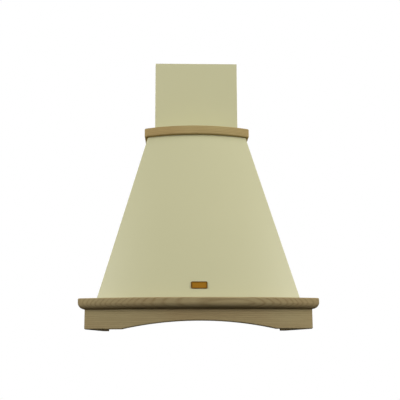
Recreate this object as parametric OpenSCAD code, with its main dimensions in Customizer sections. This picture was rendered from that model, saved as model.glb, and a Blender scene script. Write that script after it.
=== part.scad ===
// Wall-mounted chimney range hood in the country style, in millimetres.
// A bowed pyramid canopy of painted steel stands on a mitred wooden frame and carries a telescopic chimney.
// Origin: wall plane (y = 0), middle of the width (x = 0), underside of the wooden boards (z = 0).
// +X is to the right seen from the room, +Y into the wall, +Z up.

/* [Wooden frame] */
// Width over the cornice
hood_w = 600; // [580:1:640]
// Depth from the wall to the frame's front corners
frame_d = 458; // [440:1:500]
// How far the middle of the front bows out past its corners
front_bow = 53; // [44:1:60]
// Thickness of the boards under the cornice
board_t = 20; // [17:1:22]
// Height of the boards under the cornice
fascia_h = 49; // [45:1:60]
// Width of the arch in the front board
arch_w = 380; // [300:1:420]
// Height of the arch in the front board
arch_h = 20; // [12:1:26]
// How far the cornice stands out past the boards
overhang = 16; // [12:1:20]
// Height of the cornice
cornice_h = 27; // [25:1:34]
// Width of the cornice board from its outer to its inner edge
cornice_w = 58; // [54:1:62]
// Radius of the cornice's round lower edge
cornice_round = 16; // [8:1:20]
// Radius of the cornice's upper edge
cornice_ease = 3; // [1:0.5:5]
// Length of the corner blocks' sides
block_leg = 40; // [30:1:46]

/* [Canopy] */
// Thickness of the steel sheet
sheet_t = 1; // [0.8:0.1:1.2]
// Ledge of cornice left bare at each side of the canopy
side_ledge = 44; // [41:1:46]
// Ledge of cornice left bare in front of the canopy
front_ledge = 33; // [30:1:36]
// Bow of the canopy's foot
canopy_bow = 48; // [40:1:54]
// Height of the canopy's slope
canopy_h = 459; // [430:1:490]
// Height of the upright neck and of the wooden band round it
neck_h = 24; // [22:1:34]
// Bow of the neck
neck_bow = 32; // [26:1:38]
// How far the neck stands out past the chimney at each side
neck_side = 18; // [15:1:22]
// How far the neck's corners stand out in front of the chimney
neck_front = 55; // [48:1:62]
// Radius of the canopy's folded corners
fold_r = 3; // [2:0.5:5]
// Width of the flanges turned in along the canopy's edges
flange_w = 14; // [12:1:16]
// Depth of the top plate below the neck's rim
plate_drop = 7; // [4:1:10]
// Height of the top plate's turned-down flange
plate_flange = 12; // [8:1:15]
// Width of the bare plate on the canopy's front
badge_w = 41; // [30:1:50]
// Height of the bare plate
badge_h = 19; // [14:1:24]
// Height of the bare plate's centre above the canopy's foot
badge_rise = 31; // [24:1:60]

/* [Wooden band] */
// Thickness of the band
band_t = 9; // [7:1:11]
// Radius of the band's corners
band_corner = 8; // [5:1:10]

/* [Chimney] */
// Width of the chimney's outer cover
chimney_w = 240; // [230:1:250]
// Depth of the chimney's outer cover
chimney_d = 247; // [235:1:260]
// Height of the chimney's outer cover
chimney_h = 224; // [210:1:280]
// Gap between the sliding covers
chimney_gap = 1.5; // [1:0.1:2.5]
// Width of the flanges turned in along the wall
return_w = 15; // [12:1:17]
// Depth of the inner cover's rim below the outer cover's rim
chimney_sink = 5; // [4:1:10]
// Number of air slots in each side of the inner cover
slot_count = 6; // [3:1:8]
// Length of an air slot
slot_l = 70; // [50:1:90]
// Width of an air slot
slot_w = 4; // [3:0.5:5]
// Height of the wall bracket's strap
strap_h = 30; // [20:1:36]

/* [Filters] */
// Thickness of a filter
filter_t = 10; // [9:0.5:11]
// Gap round a filter in its opening
filter_gap = 1.5; // [1.2:0.1:2.5]
// Width of the bar between the two filters
centre_bar = 10; // [8:1:14]
// Distance from a filter opening to the cornice's inner edge
filter_side = 2; // [2:0.5:6]
// Distance from the wall to the filters' hinge line
hinge_back = 44; // [38:1:60]
// Width of a filter's rim
rim_w = 12; // [10:1:15]
// Width of a filter's front bar, which holds the latch
latch_bar = 30; // [28:1:34]
// Width of the latch bolt
bolt_w = 56; // [40:1:70]
// Travel of the latch
latch_travel = 6; // [5:0.5:7]
// Length of a gap in the filter's mesh
mesh_long = 28; // [26:1:32]
// Width of a gap in the filter's mesh
mesh_short = 20; // [18:1:24]
// Width of a strand of the mesh
strand = 2.4; // [1.8:0.1:3]

/* [Lights and controls] */
// Diameter of a lamp's bezel
lamp_d = 68; // [60:1:74]
// Distance of the lamps from the middle of the hood
lamp_x = 185; // [150:1:200]
// Distance from the cornice's inner edge to the lamps' centres
lamp_inset = 51; // [46:1:60]
// Distance from the filter openings to the lamps' centres
lamp_offset = 48; // [42:1:55]
// Width of the control strip
control_w = 152; // [148:1:160]
// Depth of the control strip
control_d = 36; // [30:1:40]
// Distance from the front board to the control strip
control_inset = 37; // [30:1:44]
// Distance from button to button
button_pitch = 24; // [22:1:25]
// Diameter of a button
button_d = 14; // [12:0.5:15]
// Travel of a button
button_travel = 3; // [2:0.5:3.5]

/* [Blower] */
// Outer diameter of the impeller
impeller_d = 180; // [160:1:184]
// Width of the impeller
impeller_w = 128; // [110:1:134]
// Number of blades
blade_count = 32; // [24:1:40]
// Radial depth of a blade
blade_depth = 14; // [11:1:18]
// Gap between the impeller and the scroll at its tongue
tongue_gap = 5; // [4:1:8]
// How far the scroll opens from its tongue to its outlet
scroll_growth = 55; // [50:1:60]
// Width of the scroll casing
scroll_w = 180; // [172:1:190]
// Wall of the scroll casing
scroll_wall = 2; // [1.5:0.1:2.5]
// Width of the flanges where the scroll's halves meet
seam_w = 8; // [7:1:10]
// Distance from the wall to the inside of the scroll's back
scroll_back = 18; // [16:1:30]
// Height from the shaft to the scroll's outlet
outlet_rise = 178; // [165:1:190]
// Distance from the top plate down to the scroll's outlet
outlet_drop = 52; // [48:1:60]
// Radius of the scroll's inlets
inlet_r = 66; // [58:1:68]
// Outer diameter of the duct spigot
spigot_d = 149; // [130:1:149]
// Length of the duct spigot
spigot_l = 44; // [36:1:60]
// Wall of the duct spigot
spigot_wall = 1.5; // [1.2:0.1:2]
// Diameter of the motor
motor_d = 92; // [80:1:110]
// Length of the motor
motor_l = 58; // [45:1:60]
// Diameter of the motor's shaft
shaft_d = 8; // [6:0.5:10]
// Diameter of the pin that carries the damper flaps
flap_pin_d = 4; // [3:0.5:5]

/* [Electrical parts] */
// Diameter of the capacitor
capacitor_d = 28; // [24:1:32]
// Height of the capacitor
capacitor_h = 60; // [45:1:70]
// Width of the junction box
box_w = 80; // [60:1:84]
// Depth of the junction box
box_d = 43; // [34:1:48]
// Height of the junction box
box_h = 75; // [60:1:90]

/* [Clearances] */
// Gap between fixed pieces that fit inside one another
fit_gap = 0.3; // [0.2:0.05:0.5]
// Gap round the tray inside the boards
tray_gap = 0.5; // [0.3:0.1:1]
// Radial running gap of a pin or shaft in its bore
run_gap = 0.06; // [0.03:0.01:0.1]
// Radial gap of a screw in its hole
screw_gap = 0.2; // [0.1:0.05:0.4]

/* [Hidden] */
$fn = 64;
// Facets of a full turn of the frame's large arcs
arc_fn = 360;
// Straight runs along half of a bowed outline, and round a folded corner
bow_steps = 20;
fold_steps = 3;
// A small overlap that makes cuts clean
eps = 0.5;

// Colours
paint = [0.77, 0.76, 0.62];
timber = [0.53, 0.46, 0.34];
zinc = [0.66, 0.68, 0.7];
alloy = [0.75, 0.76, 0.78];
bright = [0.85, 0.86, 0.88];
black = [0.12, 0.12, 0.13];
grey = [0.35, 0.36, 0.38];
brass = [0.6, 0.42, 0.14];

// Radius and centre of the arc that bows out by bow over a chord of twice half, front being the
// depth of its middle
function arc_r(half, bow) = (half * half + bow * bow) / (2 * bow);
function arc_y(r, c, x) = c - sqrt(r * r - x * x);

// The frame: outer face of the boards, its arc, and the corners of any outline offset from it by t
board_half = hood_w / 2 - overhang;
inner_half = board_half - board_t;
frame_r = arc_r(board_half, front_bow);
frame_c = frame_r - frame_d - front_bow;
function frame_corner(t) = [board_half + t, arc_y(frame_r + t, frame_c, board_half + t)];
// Half angle of the frame's arc, with some to spare for the mitres
frame_turn = asin((board_half + overhang) / (frame_r + overhang)) + 3;
cornice_inner = overhang - cornice_w;
arch_r = (arch_w * arch_w / 4 + arch_h * arch_h) / (2 * arch_h);

// Heights
base_z = fascia_h + cornice_h;
neck_z = base_z + canopy_h;
rim_z = neck_z + neck_h;
top_z = rim_z - plate_drop;
chimney_top = top_z + chimney_h;

// The canopy's foot and neck, as half widths and depths at the middle of the front
canopy_half = hood_w / 2 - side_ledge;
canopy_front = frame_d + front_bow + overhang - front_ledge;
neck_half = chimney_w / 2 + neck_side;
neck_depth = chimney_d + neck_front + neck_bow;
// Lean of the canopy's front from upright
front_lean = atan((canopy_front - neck_depth) / canopy_h);

// The inner, sliding cover
upper_half = chimney_w / 2 - sheet_t - chimney_gap;
upper_front = chimney_d - sheet_t - chimney_gap;
upper_back = sheet_t + chimney_gap;
upper_z = top_z + sheet_t + fit_gap;
upper_top = chimney_top - chimney_sink;
slot_pitch = 2.2 * slot_w;
strap_t = 1.5;
strap_z = upper_top - slot_count * slot_pitch - 3 * slot_pitch;

// The tray and its openings
tray_z = fascia_h - sheet_t;
tray_half = inner_half - tray_gap;
tray_r = frame_r - board_t - tray_gap;
tray_flange = 25;
open_in = centre_bar / 2;
open_out = board_half + cornice_inner - filter_side;
lamp_y = -arc_y(frame_r + cornice_inner, frame_c, lamp_x) - lamp_inset;
open_back = hinge_back;
open_front = lamp_y - lamp_offset;
tongue_l = 12;
tongue_w = 30;
tongue_t = 1.5;
lip_h = 6;

// A filter: its sides, and its faces above and below the tray
filter_in = open_in + filter_gap;
filter_out = open_out - filter_gap;
filter_w = filter_out - filter_in;
filter_l = open_front - open_back - 2 * filter_gap;
filter_mid = (filter_in + filter_out) / 2;
filter_rear = open_back + filter_gap;
filter_front = filter_rear + filter_l;
filter_z = fascia_h + 4.5 - filter_t;
filter_corner = 6;
mesh_t = 2.5;
mesh_seat = 4;
mesh_z = filter_z + filter_t / 2 - mesh_t / 2;
bolt_l = 20;
bolt_t = 3;
bolt_z = fascia_h + 0.5;
pull_t = 2.5;

// Lamps and controls
lamp_can = lamp_d / 2 - 6;
lamp_lens = lamp_d / 2 - 10;
lamp_core_h = 30;
lamp_fin_h = 27;
lamp_fin_t = 1.6;
bezel_t = 2.5;
bezel_z = tray_z - bezel_t;
control_front = arc_y(frame_r - board_t, frame_c, 0) + control_inset;
control_y = control_front + control_d / 2;
housing_h = 31;
housing_wall = 2;
button_collar = 1.5;
button_up = 12;
button_down = 3;
button_run = 0.25;
pilot_x = control_w / 2 - 10;
pilot_r = 2.5;

// The blower: centre of the shaft, and the scroll's radii
impeller_r = impeller_d / 2;
scroll_start = impeller_r + tongue_gap;
scroll_end = scroll_start + scroll_growth;
blower_y = -(scroll_back + scroll_end);
outlet_z = top_z - outlet_drop;
blower_z = outlet_z - outlet_rise;
scroll_half = scroll_w / 2;
scroll_steps = 40;
seam_t = 2.5;
bell_r = 8;
bell_l = 12;
disc_t = 2;
blade_t = 1.2;
blade_sweep = 14;
shaft_r = shaft_d / 2;
hub_r = shaft_r + 8;
motor_start = 8;
motor_end = motor_start + motor_l;
spider_t = 2.5;
boss_r = 17;

// The outlet collar, its seat ring and its two flaps
collar_y = -(scroll_back + scroll_end / 2);
spigot_r = spigot_d / 2;
collar_in = spigot_r - spigot_wall;
collar_out = spigot_r + 1.5;
collar_t = 3;
collar_step = top_z + 4;
spigot_top = collar_step + spigot_l;
seat_w = 2.5;
flap_t = 1;
flap_r = collar_in - 1;
flap_z = outlet_z + 30;
flap_pin_r = flap_pin_d / 2;
knuckle_r = flap_pin_r + 2;
flap_edge = knuckle_r + 1;

// Brackets and bushes on the canopy's back
bush_r = 9;
bush_t = 3;
bush_inset = 27;
bush_drop = 32;
bush_span = 140;
bush_y = -(scroll_back + bush_inset);
bush_low = blower_z - bush_drop;
bush_high = bush_low + bush_span;
bush_screw_r = 2.5;
bracket_t = 1.5;
bracket_in = scroll_half + bush_t;
bracket_rim = 28;
bracket_screw_in = 12;
bracket_low = bush_low - bracket_rim - bracket_screw_in;
bracket_high = bush_high + bracket_rim + bracket_screw_in / 2;
arm_h = 44;
arm_edge = 4;
spider_rim = 12;
spider_arm = 10;
guard_wire = 4;

// Electrical parts on the back panel
capacitor_r = capacitor_d / 2;
capacitor_x = -(bracket_in + bracket_t + 30);
capacitor_z = base_z + 174;
capacitor_y = -(sheet_t + 3 + capacitor_r);
box_x = bracket_in + bracket_t + 14;
box_z = base_z + 84;
box_wall = 2;
lid_t = 2.5;
gland_x = box_x + box_w / 2;
gland_y = -(sheet_t + box_d / 2);
gland_r = 10;
gland_bore = 4.5;

// Screws: shank radius, head radius and head height
screw_r = 2;
screw_head = 4;
screw_head_h = 2.5;
screw_l = 14;
side_screws = [-90, -230, -370];
side_screw_x = board_half + cornice_inner + 12.5;
front_screw_r = frame_r - board_t - 11;
front_screws = [-9, 0, 9];
foot_screws = [-50, -180, -310];
foot_screw_x = canopy_half - flange_w / 2;
foot_front_x = 60;
foot_front_y = -(canopy_front - flange_w / 2 - 3);
chimney_screw_x = chimney_w / 2 - sheet_t - flange_w / 2;
chimney_screw_ys = [-0.25 * chimney_d, -0.8 * chimney_d];
chimney_screw_r = 2;
seam_screw_r = 1.5;
seam_screw_angles = [112, 160, 208, 256, 304];

// Places on the wall
hole_r = 3.5;
lower_hole_x = 180;
lower_hole_z = base_z + 34;
keyhole_x = 110;
keyhole_z = rim_z - 64;
keyhole_head = 6.5;
keyhole_slot = 3.25;
keyhole_l = 12;
strap_hole_x = 70;

// Shared shapes

module mirrored_x() {
    children();
    mirror([1, 0, 0]) children();
}

// Extrudes a profile drawn in (y, z) along x
module along_x(x0, x1) {
    translate([x0, 0, 0]) rotate([90, 0, 90]) linear_extrude(x1 - x0) children();
}

// Extrudes a profile drawn in (x, z) from y0 towards the room
module along_y(y0, length) {
    translate([0, y0, 0]) rotate([90, 0, 0]) linear_extrude(length) children();
}

// Turns a profile drawn in (radius, x) about the blower's shaft
module about_shaft() {
    translate([0, blower_y, blower_z]) rotate([0, 90, 0]) rotate_extrude() children();
}

module x_hole(r, x0, x1, y, z) {
    translate([x0, y, z]) rotate([0, 90, 0]) cylinder(r = r, h = x1 - x0);
}

module y_hole(r, x, z, depth) {
    translate([x, eps, z]) rotate([90, 0, 0]) cylinder(r = r, h = depth + 2 * eps);
}

module z_hole(r, x, y, z0, z1) {
    translate([x, y, z0]) cylinder(r = r, h = z1 - z0);
}

// Plan outline from the wall round a bowed front and back to the wall: half width, front arc's
// radius and centre, corner radius and gap to the wall
function bowed_outline(half, r, c, corner, back) =
    let (cx = half - corner,
         cy = arc_y(r - corner, c, cx),
         a = asin(cx / (r - corner)),
         bend = [for (i = [0:fold_steps]) -(90 - a) * i / fold_steps])
    concat(
        [[half, -back]],
        [for (t = bend) [cx + corner * cos(t), cy + corner * sin(t)]],
        [for (i = [1:2 * bow_steps - 1])
            let (t = a - a * i / bow_steps) [r * sin(t), c - r * cos(t)]],
        [for (i = [fold_steps:-1:0]) let (t = bend[i])
            [-(cx + corner * cos(t)), cy + corner * sin(t)]],
        [[-half, -back]]);

// The same outline from the depth of its middle and its bow
function bowed_section(half, front, bow, corner, back) =
    let (r = arc_r(half, bow)) bowed_outline(half, r, r - front, corner, back);

// Solid skinned through outlines of equal point counts, each at its height
module loft(heights, outlines) {
    n = len(outlines[0]);
    m = len(outlines);
    polyhedron(
        points = [for (j = [0:m - 1]) for (p = outlines[j]) [p.x, p.y, heights[j]]],
        faces = concat(
            [[for (i = [n - 1:-1:0]) i]],
            [[for (i = [0:n - 1]) (m - 1) * n + i]],
            [for (j = [0:m - 2]) for (i = [0:n - 1])
                let (a = j * n + i, b = j * n + (i + 1) % n)
                each [[a, b, b + n], [a, b + n, a + n]]]));
}

// Plan area in front of the mitres through an inner and an outer corner
module front_of_mitres(inner, outer) {
    u = (outer - inner) / norm(outer - inner);
    reach = cornice_w / 2;
    a = inner - u * reach;
    b = outer + u * reach;
    far = -(frame_d + 3 * front_bow);
    polygon([a, b, [b.x, far], [-b.x, far], [-b.x, b.y], [-a.x, a.y]]);
}

// Sweeps a profile drawn in (outward offset, z) round the frame's bowed front
module round_front(inner, outer) {
    intersection() {
        translate([0, frame_c, 0])
            rotate([0, 0, 270 - frame_turn])
                rotate_extrude(angle = 2 * frame_turn, $fn = arc_fn)
                    translate([frame_r, 0]) children();
        translate([0, 0, -eps]) linear_extrude(base_z + 2 * eps) front_of_mitres(inner, outer);
    }
}

// Runs the same profile along the right side, from the wall to the mitre
module along_side(inner, outer) {
    difference() {
        along_y(0, frame_d + front_bow) translate([board_half, 0]) children();
        translate([0, 0, -eps]) linear_extrude(base_z + 2 * eps) front_of_mitres(inner, outer);
    }
}

module obround(length, width) {
    square([length - width, width], center = true);
    for (s = [-1, 1]) translate([s * (length - width) / 2, 0]) circle(d = width);
}

// Wooden frame

module board_profile() {
    translate([-board_t, 0]) square([board_t, fascia_h]);
}

module front_fascia() {
    color(timber) difference() {
        round_front(frame_corner(-board_t), frame_corner(0)) board_profile();
        translate([0, -(frame_d - 3 * board_t), arch_h - arch_r])
            rotate([90, 0, 0])
                cylinder(r = arch_r, h = front_bow + 6 * board_t, $fn = arc_fn);
    }
}

module side_board() {
    color(timber) along_side(frame_corner(-board_t), frame_corner(0)) board_profile();
}

module side_board_right() {
    side_board();
}

module side_board_left() {
    mirror([1, 0, 0]) side_board();
}

// Section of the cornice: square inner edge, round lower edge and eased upper edge
module cornice_profile() {
    steps = 8;
    round_x = overhang - cornice_round;
    ease_x = overhang - cornice_ease;
    polygon(concat(
        [[cornice_inner, base_z], [cornice_inner, fascia_h]],
        [for (i = [0:steps])
            let (a = 90 * i / steps)
            [round_x + cornice_round * sin(a), fascia_h + cornice_round * (1 - cos(a))]],
        [for (i = [0:steps / 2])
            let (a = 180 * i / steps)
            [ease_x + cornice_ease * cos(a), base_z - cornice_ease * (1 - sin(a))]]));
}

module side_screw_holes() {
    for (y = side_screws)
        z_hole(screw_r + screw_gap, side_screw_x, y, fascia_h - eps, fascia_h + screw_l);
    for (y = foot_screws)
        z_hole(screw_r + screw_gap, foot_screw_x, y, base_z - screw_l, base_z + eps);
}

module cornice_side() {
    color(timber) difference() {
        along_side(frame_corner(cornice_inner), frame_corner(overhang)) cornice_profile();
        side_screw_holes();
    }
}

module cornice_right() {
    cornice_side();
}

module cornice_left() {
    mirror([1, 0, 0]) cornice_side();
}

module at_front_screws() {
    for (a = front_screws)
        translate([front_screw_r * sin(a), frame_c - front_screw_r * cos(a), 0]) children();
}

module cornice_front() {
    color(timber) difference() {
        round_front(frame_corner(cornice_inner), frame_corner(overhang)) cornice_profile();
        at_front_screws() z_hole(screw_r + screw_gap, 0, 0, fascia_h - eps, fascia_h + screw_l);
        for (s = [-1, 1])
            z_hole(screw_r + screw_gap, s * foot_front_x, foot_front_y, base_z - screw_l, base_z + eps);
    }
}

// Three-sided blocks glued into the corners behind the front board
module corner_blocks() {
    corner = frame_corner(-board_t);
    tip_x = inner_half - block_leg;
    tip = [tip_x, arc_y(frame_r - board_t, frame_c, tip_x)];
    color(timber) mirrored_x()
        translate([0, 0, fascia_h / 6])
            linear_extrude(tray_z - fit_gap - fascia_h / 6)
                polygon([
                    corner + [0, fit_gap],
                    corner + [0, block_leg],
                    tip + [0, fit_gap]
                ]);
}

// Wooden band

function band_outline(t, corner) =
    let (r = arc_r(neck_half, neck_bow))
    bowed_outline(neck_half + fit_gap + t, r + fit_gap + t, r - neck_depth, corner, 0);

function band_corner_at(t) =
    let (r = arc_r(neck_half, neck_bow), x = neck_half + fit_gap + t)
    [x, arc_y(r + fit_gap + t, r - neck_depth, x)];

module band_ring() {
    translate([0, 0, neck_z]) linear_extrude(neck_h) difference() {
        polygon(band_outline(band_t, band_corner));
        polygon(band_outline(0, fold_r));
        translate([-neck_half, -eps]) square([2 * neck_half, 2 * eps]);
    }
}

module band_mitre() {
    translate([0, 0, neck_z - eps]) linear_extrude(neck_h + 2 * eps)
        front_of_mitres(band_corner_at(0), band_corner_at(band_t));
}

module band_front() {
    color(timber) intersection() {
        band_ring();
        band_mitre();
    }
}

module band_right() {
    color(timber) difference() {
        band_ring();
        band_mitre();
        translate([-hood_w, -hood_w, 0]) cube([hood_w, 2 * hood_w, 2 * rim_z]);
    }
}

module band_left() {
    mirror([1, 0, 0]) band_right();
}

// Canopy

function canopy_outlines(inset) = [
    bowed_section(canopy_half - inset, canopy_front - inset, canopy_bow, fold_r - inset, 0),
    bowed_section(neck_half - inset, neck_depth - inset, neck_bow, fold_r - inset, 0),
    bowed_section(neck_half - inset, neck_depth - inset, neck_bow, fold_r - inset, 0)
];

// The canopy as a solid block, inset by a distance and stretched past its ends
module canopy_block(inset, stretch) {
    rows = canopy_outlines(inset);
    heights = [base_z, neck_z, rim_z];
    loft(
        concat([base_z - stretch], heights, [rim_z + stretch]),
        concat([rows[0]], rows, [rows[2]]));
}

module canopy_shell() {
    color(paint) {
        difference() {
            loft([base_z, neck_z, rim_z], canopy_outlines(0));
            canopy_block(sheet_t, 1);
            translate([-hood_w, -sheet_t, 0]) cube([2 * hood_w, hood_w, 2 * rim_z]);
        }
        foot_flange();
        back_flanges();
    }
}

// Flange turned in along the foot, which is screwed down on the cornice
module foot_flange() {
    half_t = sheet_t / 2;
    translate([0, 0, base_z]) linear_extrude(sheet_t) difference() {
        polygon(bowed_section(canopy_half - half_t, canopy_front - half_t, canopy_bow, fold_r, sheet_t));
        polygon(bowed_section(canopy_half - flange_w, canopy_front - flange_w, canopy_bow, fold_r, -eps));
        for (s = [-1, 1]) {
            for (y = foot_screws) translate([s * foot_screw_x, y]) circle(r = screw_r + screw_gap);
            translate([s * foot_front_x, foot_front_y]) circle(r = screw_r + screw_gap);
        }
    }
}

// Flanges turned in along the back edges, on which the back panel lies
module back_flanges() {
    half_t = sheet_t / 2;
    mirrored_x() along_y(-sheet_t, sheet_t) polygon([
        [canopy_half - half_t, base_z],
        [neck_half - half_t, neck_z],
        [neck_half - half_t, rim_z],
        [neck_half - flange_w, rim_z],
        [neck_half - flange_w, neck_z],
        [canopy_half - flange_w, base_z]
    ]);
}

module keyhole() {
    circle(r = keyhole_head);
    translate([-keyhole_slot, 0]) square([2 * keyhole_slot, keyhole_l]);
    translate([0, keyhole_l]) circle(r = keyhole_slot);
}

module bracket_screw_places() {
    for (s = [-1, 1]) for (z = [bracket_low + bracket_screw_in, bracket_high - bracket_screw_in])
        translate([s * (bracket_in - bracket_screw_in), z]) children();
}

module back_panel() {
    tab = board_half + cornice_inner - fit_gap;
    color(zinc) along_y(0, sheet_t) difference() {
        polygon([
            [tab, fascia_h], [tab, base_z],
            [canopy_half, base_z], [neck_half, neck_z], [neck_half, top_z],
            [-neck_half, top_z], [-neck_half, neck_z], [-canopy_half, base_z],
            [-tab, base_z], [-tab, fascia_h]
        ]);
        for (s = [-1, 1]) {
            translate([s * keyhole_x, keyhole_z]) keyhole();
            translate([s * lower_hole_x, lower_hole_z]) circle(r = hole_r);
        }
    }
}

module neck_outline(inset, back) {
    polygon(bowed_section(neck_half - inset, neck_depth - inset, neck_bow, fold_r, back));
}

module top_plate() {
    inset = sheet_t + fit_gap;
    color(paint) difference() {
        union() {
            translate([0, 0, top_z - sheet_t]) linear_extrude(sheet_t)
                neck_outline(inset, inset + sheet_t);
            translate([0, 0, top_z - plate_flange]) linear_extrude(plate_flange - sheet_t / 2)
                difference() {
                    neck_outline(inset, inset + sheet_t);
                    neck_outline(inset + sheet_t, -eps);
                }
        }
        z_hole(collar_out + 1.5, 0, collar_y, top_z - 2 * plate_flange, top_z + eps);
        at_chimney_screws()
            z_hole(chimney_screw_r + screw_gap, 0, 0, top_z - 2 * plate_flange, top_z + eps);
    }
}

// Plain brass plate, flat on the middle of the leaning front
module badge_plate() {
    color(brass)
        translate([0, -canopy_front + badge_rise * tan(front_lean), base_z + badge_rise])
            rotate([90 - front_lean, 0, 0])
                translate([0, 0, fit_gap]) linear_extrude(1.6) {
                    square([badge_w - 4, badge_h], center = true);
                    square([badge_w, badge_h - 4], center = true);
                    for (x = [-1, 1]) for (y = [-1, 1])
                        translate([x * (badge_w / 2 - 2), y * (badge_h / 2 - 2)]) circle(r = 2);
                }
}

// Chimney

// Plan of a cover: three walls and two flanges turned in along the wall
module cover_plan(half, front, back) {
    difference() {
        translate([-half, -front]) square([2 * half, front - back]);
        translate([-half + sheet_t, -front + sheet_t])
            square([2 * (half - sheet_t), front - back - 2 * sheet_t]);
        translate([-half + return_w, -back - 2 * sheet_t])
            square([2 * (half - return_w), 3 * sheet_t]);
    }
}

module at_chimney_screws() {
    for (s = [-1, 1]) for (y = chimney_screw_ys)
        translate([s * chimney_screw_x, y, 0]) children();
}

module chimney_lower() {
    half = chimney_w / 2;
    color(paint) {
        translate([0, 0, top_z]) linear_extrude(chimney_h) cover_plan(half, chimney_d, 0);
        translate([0, 0, top_z]) linear_extrude(sheet_t) difference() {
            translate([-half + sheet_t / 2, -chimney_d + sheet_t / 2])
                square([2 * half - sheet_t, chimney_d - 3 * sheet_t]);
            translate([-half + sheet_t + flange_w, -chimney_d + sheet_t + flange_w])
                square([2 * (half - sheet_t - flange_w), chimney_d]);
            at_chimney_screws() circle(r = chimney_screw_r + screw_gap);
        }
    }
}

module chimney_upper() {
    color(paint) difference() {
        translate([0, 0, upper_z]) linear_extrude(upper_top - upper_z)
            cover_plan(upper_half, upper_front, upper_back);
        for (i = [1:slot_count])
            translate([-chimney_w, -chimney_d / 2, upper_top - (i + 0.5) * slot_pitch])
                rotate([90, 0, 90]) linear_extrude(2 * chimney_w) obround(slot_l, slot_w);
    }
}

// Strap that holds the inner cover to the wall: a web on the wall, a step over the cover's
// flanges and a wing along each side
module chimney_bracket() {
    web = upper_half - return_w - 2 * sheet_t;
    wing = upper_half - sheet_t - fit_gap;
    wing_l = 55;
    step = upper_back + sheet_t + fit_gap;
    color(zinc) difference() {
        translate([0, 0, strap_z]) linear_extrude(strap_h) {
            translate([-web, -strap_t]) square([2 * web, strap_t]);
            for (s = [0, 1]) mirror([s, 0]) {
                translate([web - strap_t, -step - strap_t]) square([strap_t, step + strap_t]);
                translate([web - strap_t, -step - strap_t]) square([wing - web + strap_t, strap_t]);
                translate([wing - strap_t, -step - wing_l]) square([strap_t, wing_l]);
            }
        }
        for (s = [-1, 1]) y_hole(hole_r, s * strap_hole_x, strap_z + strap_h / 2, strap_t);
        for (s = [-1, 1])
            x_hole(screw_r, s * wing - 2 * strap_t, s * wing + 2 * strap_t,
                -step - 0.75 * wing_l, strap_z + strap_h / 2);
    }
}

// Tray

module tray_plan() {
    intersection() {
        translate([0, frame_c]) circle(r = tray_r, $fn = arc_fn);
        translate([-tray_half, -2 * frame_d]) square([2 * tray_half, 2 * frame_d - sheet_t]);
    }
}

module base_tray() {
    flange_half = board_half + cornice_inner - 2;
    color(alloy) {
        translate([0, 0, tray_z]) linear_extrude(sheet_t) difference() {
            tray_plan();
            for (s = [-1, 1]) {
                translate([s > 0 ? open_in : -open_out, -open_front])
                    square([open_out - open_in, open_front - open_back]);
                translate([s * lamp_x, -lamp_y]) circle(r = lamp_can + 0.5);
                for (y = side_screws) translate([s * side_screw_x, y]) circle(r = screw_r + screw_gap);
            }
            translate([0, control_y])
                square([control_w - 12, control_d - 10], center = true);
            at_front_screws() circle(r = screw_r + screw_gap);
        }
        translate([-flange_half, -2 * sheet_t, tray_z])
            cube([2 * flange_half, sheet_t, tray_flange + sheet_t]);
        mirrored_x() for (x = [open_in - sheet_t, open_out])
            translate([x, -open_front + 2 * tongue_l, tray_z])
                cube([sheet_t, filter_l - 4 * tongue_l, lip_h + sheet_t]);
    }
}

// Filters

module filter_plan(inset) {
    w = filter_w - 2 * inset;
    l = filter_l - 2 * inset;
    r = filter_corner;
    translate([filter_in + inset, -filter_front + inset]) {
        translate([r, 0]) square([w - 2 * r, l]);
        translate([0, r]) square([w, l - 2 * r]);
        for (x = [r, w - r]) for (y = [r, l - r]) translate([x, y]) circle(r = r);
    }
}

// Rim of the right filter, with its two rear tongues, the groove for the mesh and the
// pocket and slot for the latch
module filter_frame() {
    pocket_y = -filter_front + bolt_l + latch_travel;
    color(alloy) difference() {
        union() {
            translate([0, 0, filter_z]) linear_extrude(filter_t) filter_plan(0);
            for (x = [filter_in + 2 * tongue_w, filter_out - 2 * tongue_w])
                translate([x - tongue_w / 2, -filter_rear - 2 * tongue_t, fascia_h + fit_gap])
                    cube([tongue_w, filter_gap + tongue_l + 2 * tongue_t, tongue_t]);
        }
        window(0, filter_z - eps, filter_z + filter_t + eps);
        window(mesh_seat, mesh_z - 0.25, mesh_z + mesh_t + 0.25);
        translate([filter_mid - bolt_w / 2 - fit_gap, -filter_front - eps, bolt_z - fit_gap])
            cube([bolt_w + 2 * fit_gap, pocket_y + filter_front + eps, filter_t]);
        translate([filter_mid - 13, pocket_y - 21, filter_z - eps])
            cube([26, 19, filter_t]);
    }
}

// Space inside the rim, grown by a distance, between two heights
module window(grow, z0, z1) {
    translate([filter_in + rim_w - grow, -filter_front + latch_bar - grow, z0])
        cube([filter_w - 2 * rim_w + 2 * grow, filter_l - latch_bar - rim_w + 2 * grow, z1 - z0]);
}

// One sheet of expanded metal: staggered diamond gaps between strands
module filter_mesh() {
    w = filter_w - 2 * rim_w + 2 * mesh_seat - 0.6;
    l = filter_l - latch_bar - rim_w + 2 * mesh_seat - 0.6;
    edge = mesh_seat;
    pitch_x = mesh_long + strand;
    pitch_y = mesh_short + strand;
    columns = floor((w - 2 * edge) / pitch_x);
    rows = floor((l - 2 * edge) / (pitch_y / 2)) - 1;
    color(bright)
        translate([filter_mid, -(filter_front - latch_bar + filter_rear + rim_w) / 2, mesh_z])
            linear_extrude(mesh_t) difference() {
                square([w, l], center = true);
                for (j = [0:rows - 1]) for (i = [0:columns - 1 - j % 2])
                    translate([
                        (i - (columns - 1) / 2 + (j % 2) / 2) * pitch_x,
                        (j - (rows - 1) / 2) * pitch_y / 2])
                        polygon([
                            [mesh_long / 2, 0], [0, mesh_short / 2],
                            [-mesh_long / 2, 0], [0, -mesh_short / 2]]);
            }
}

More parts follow.
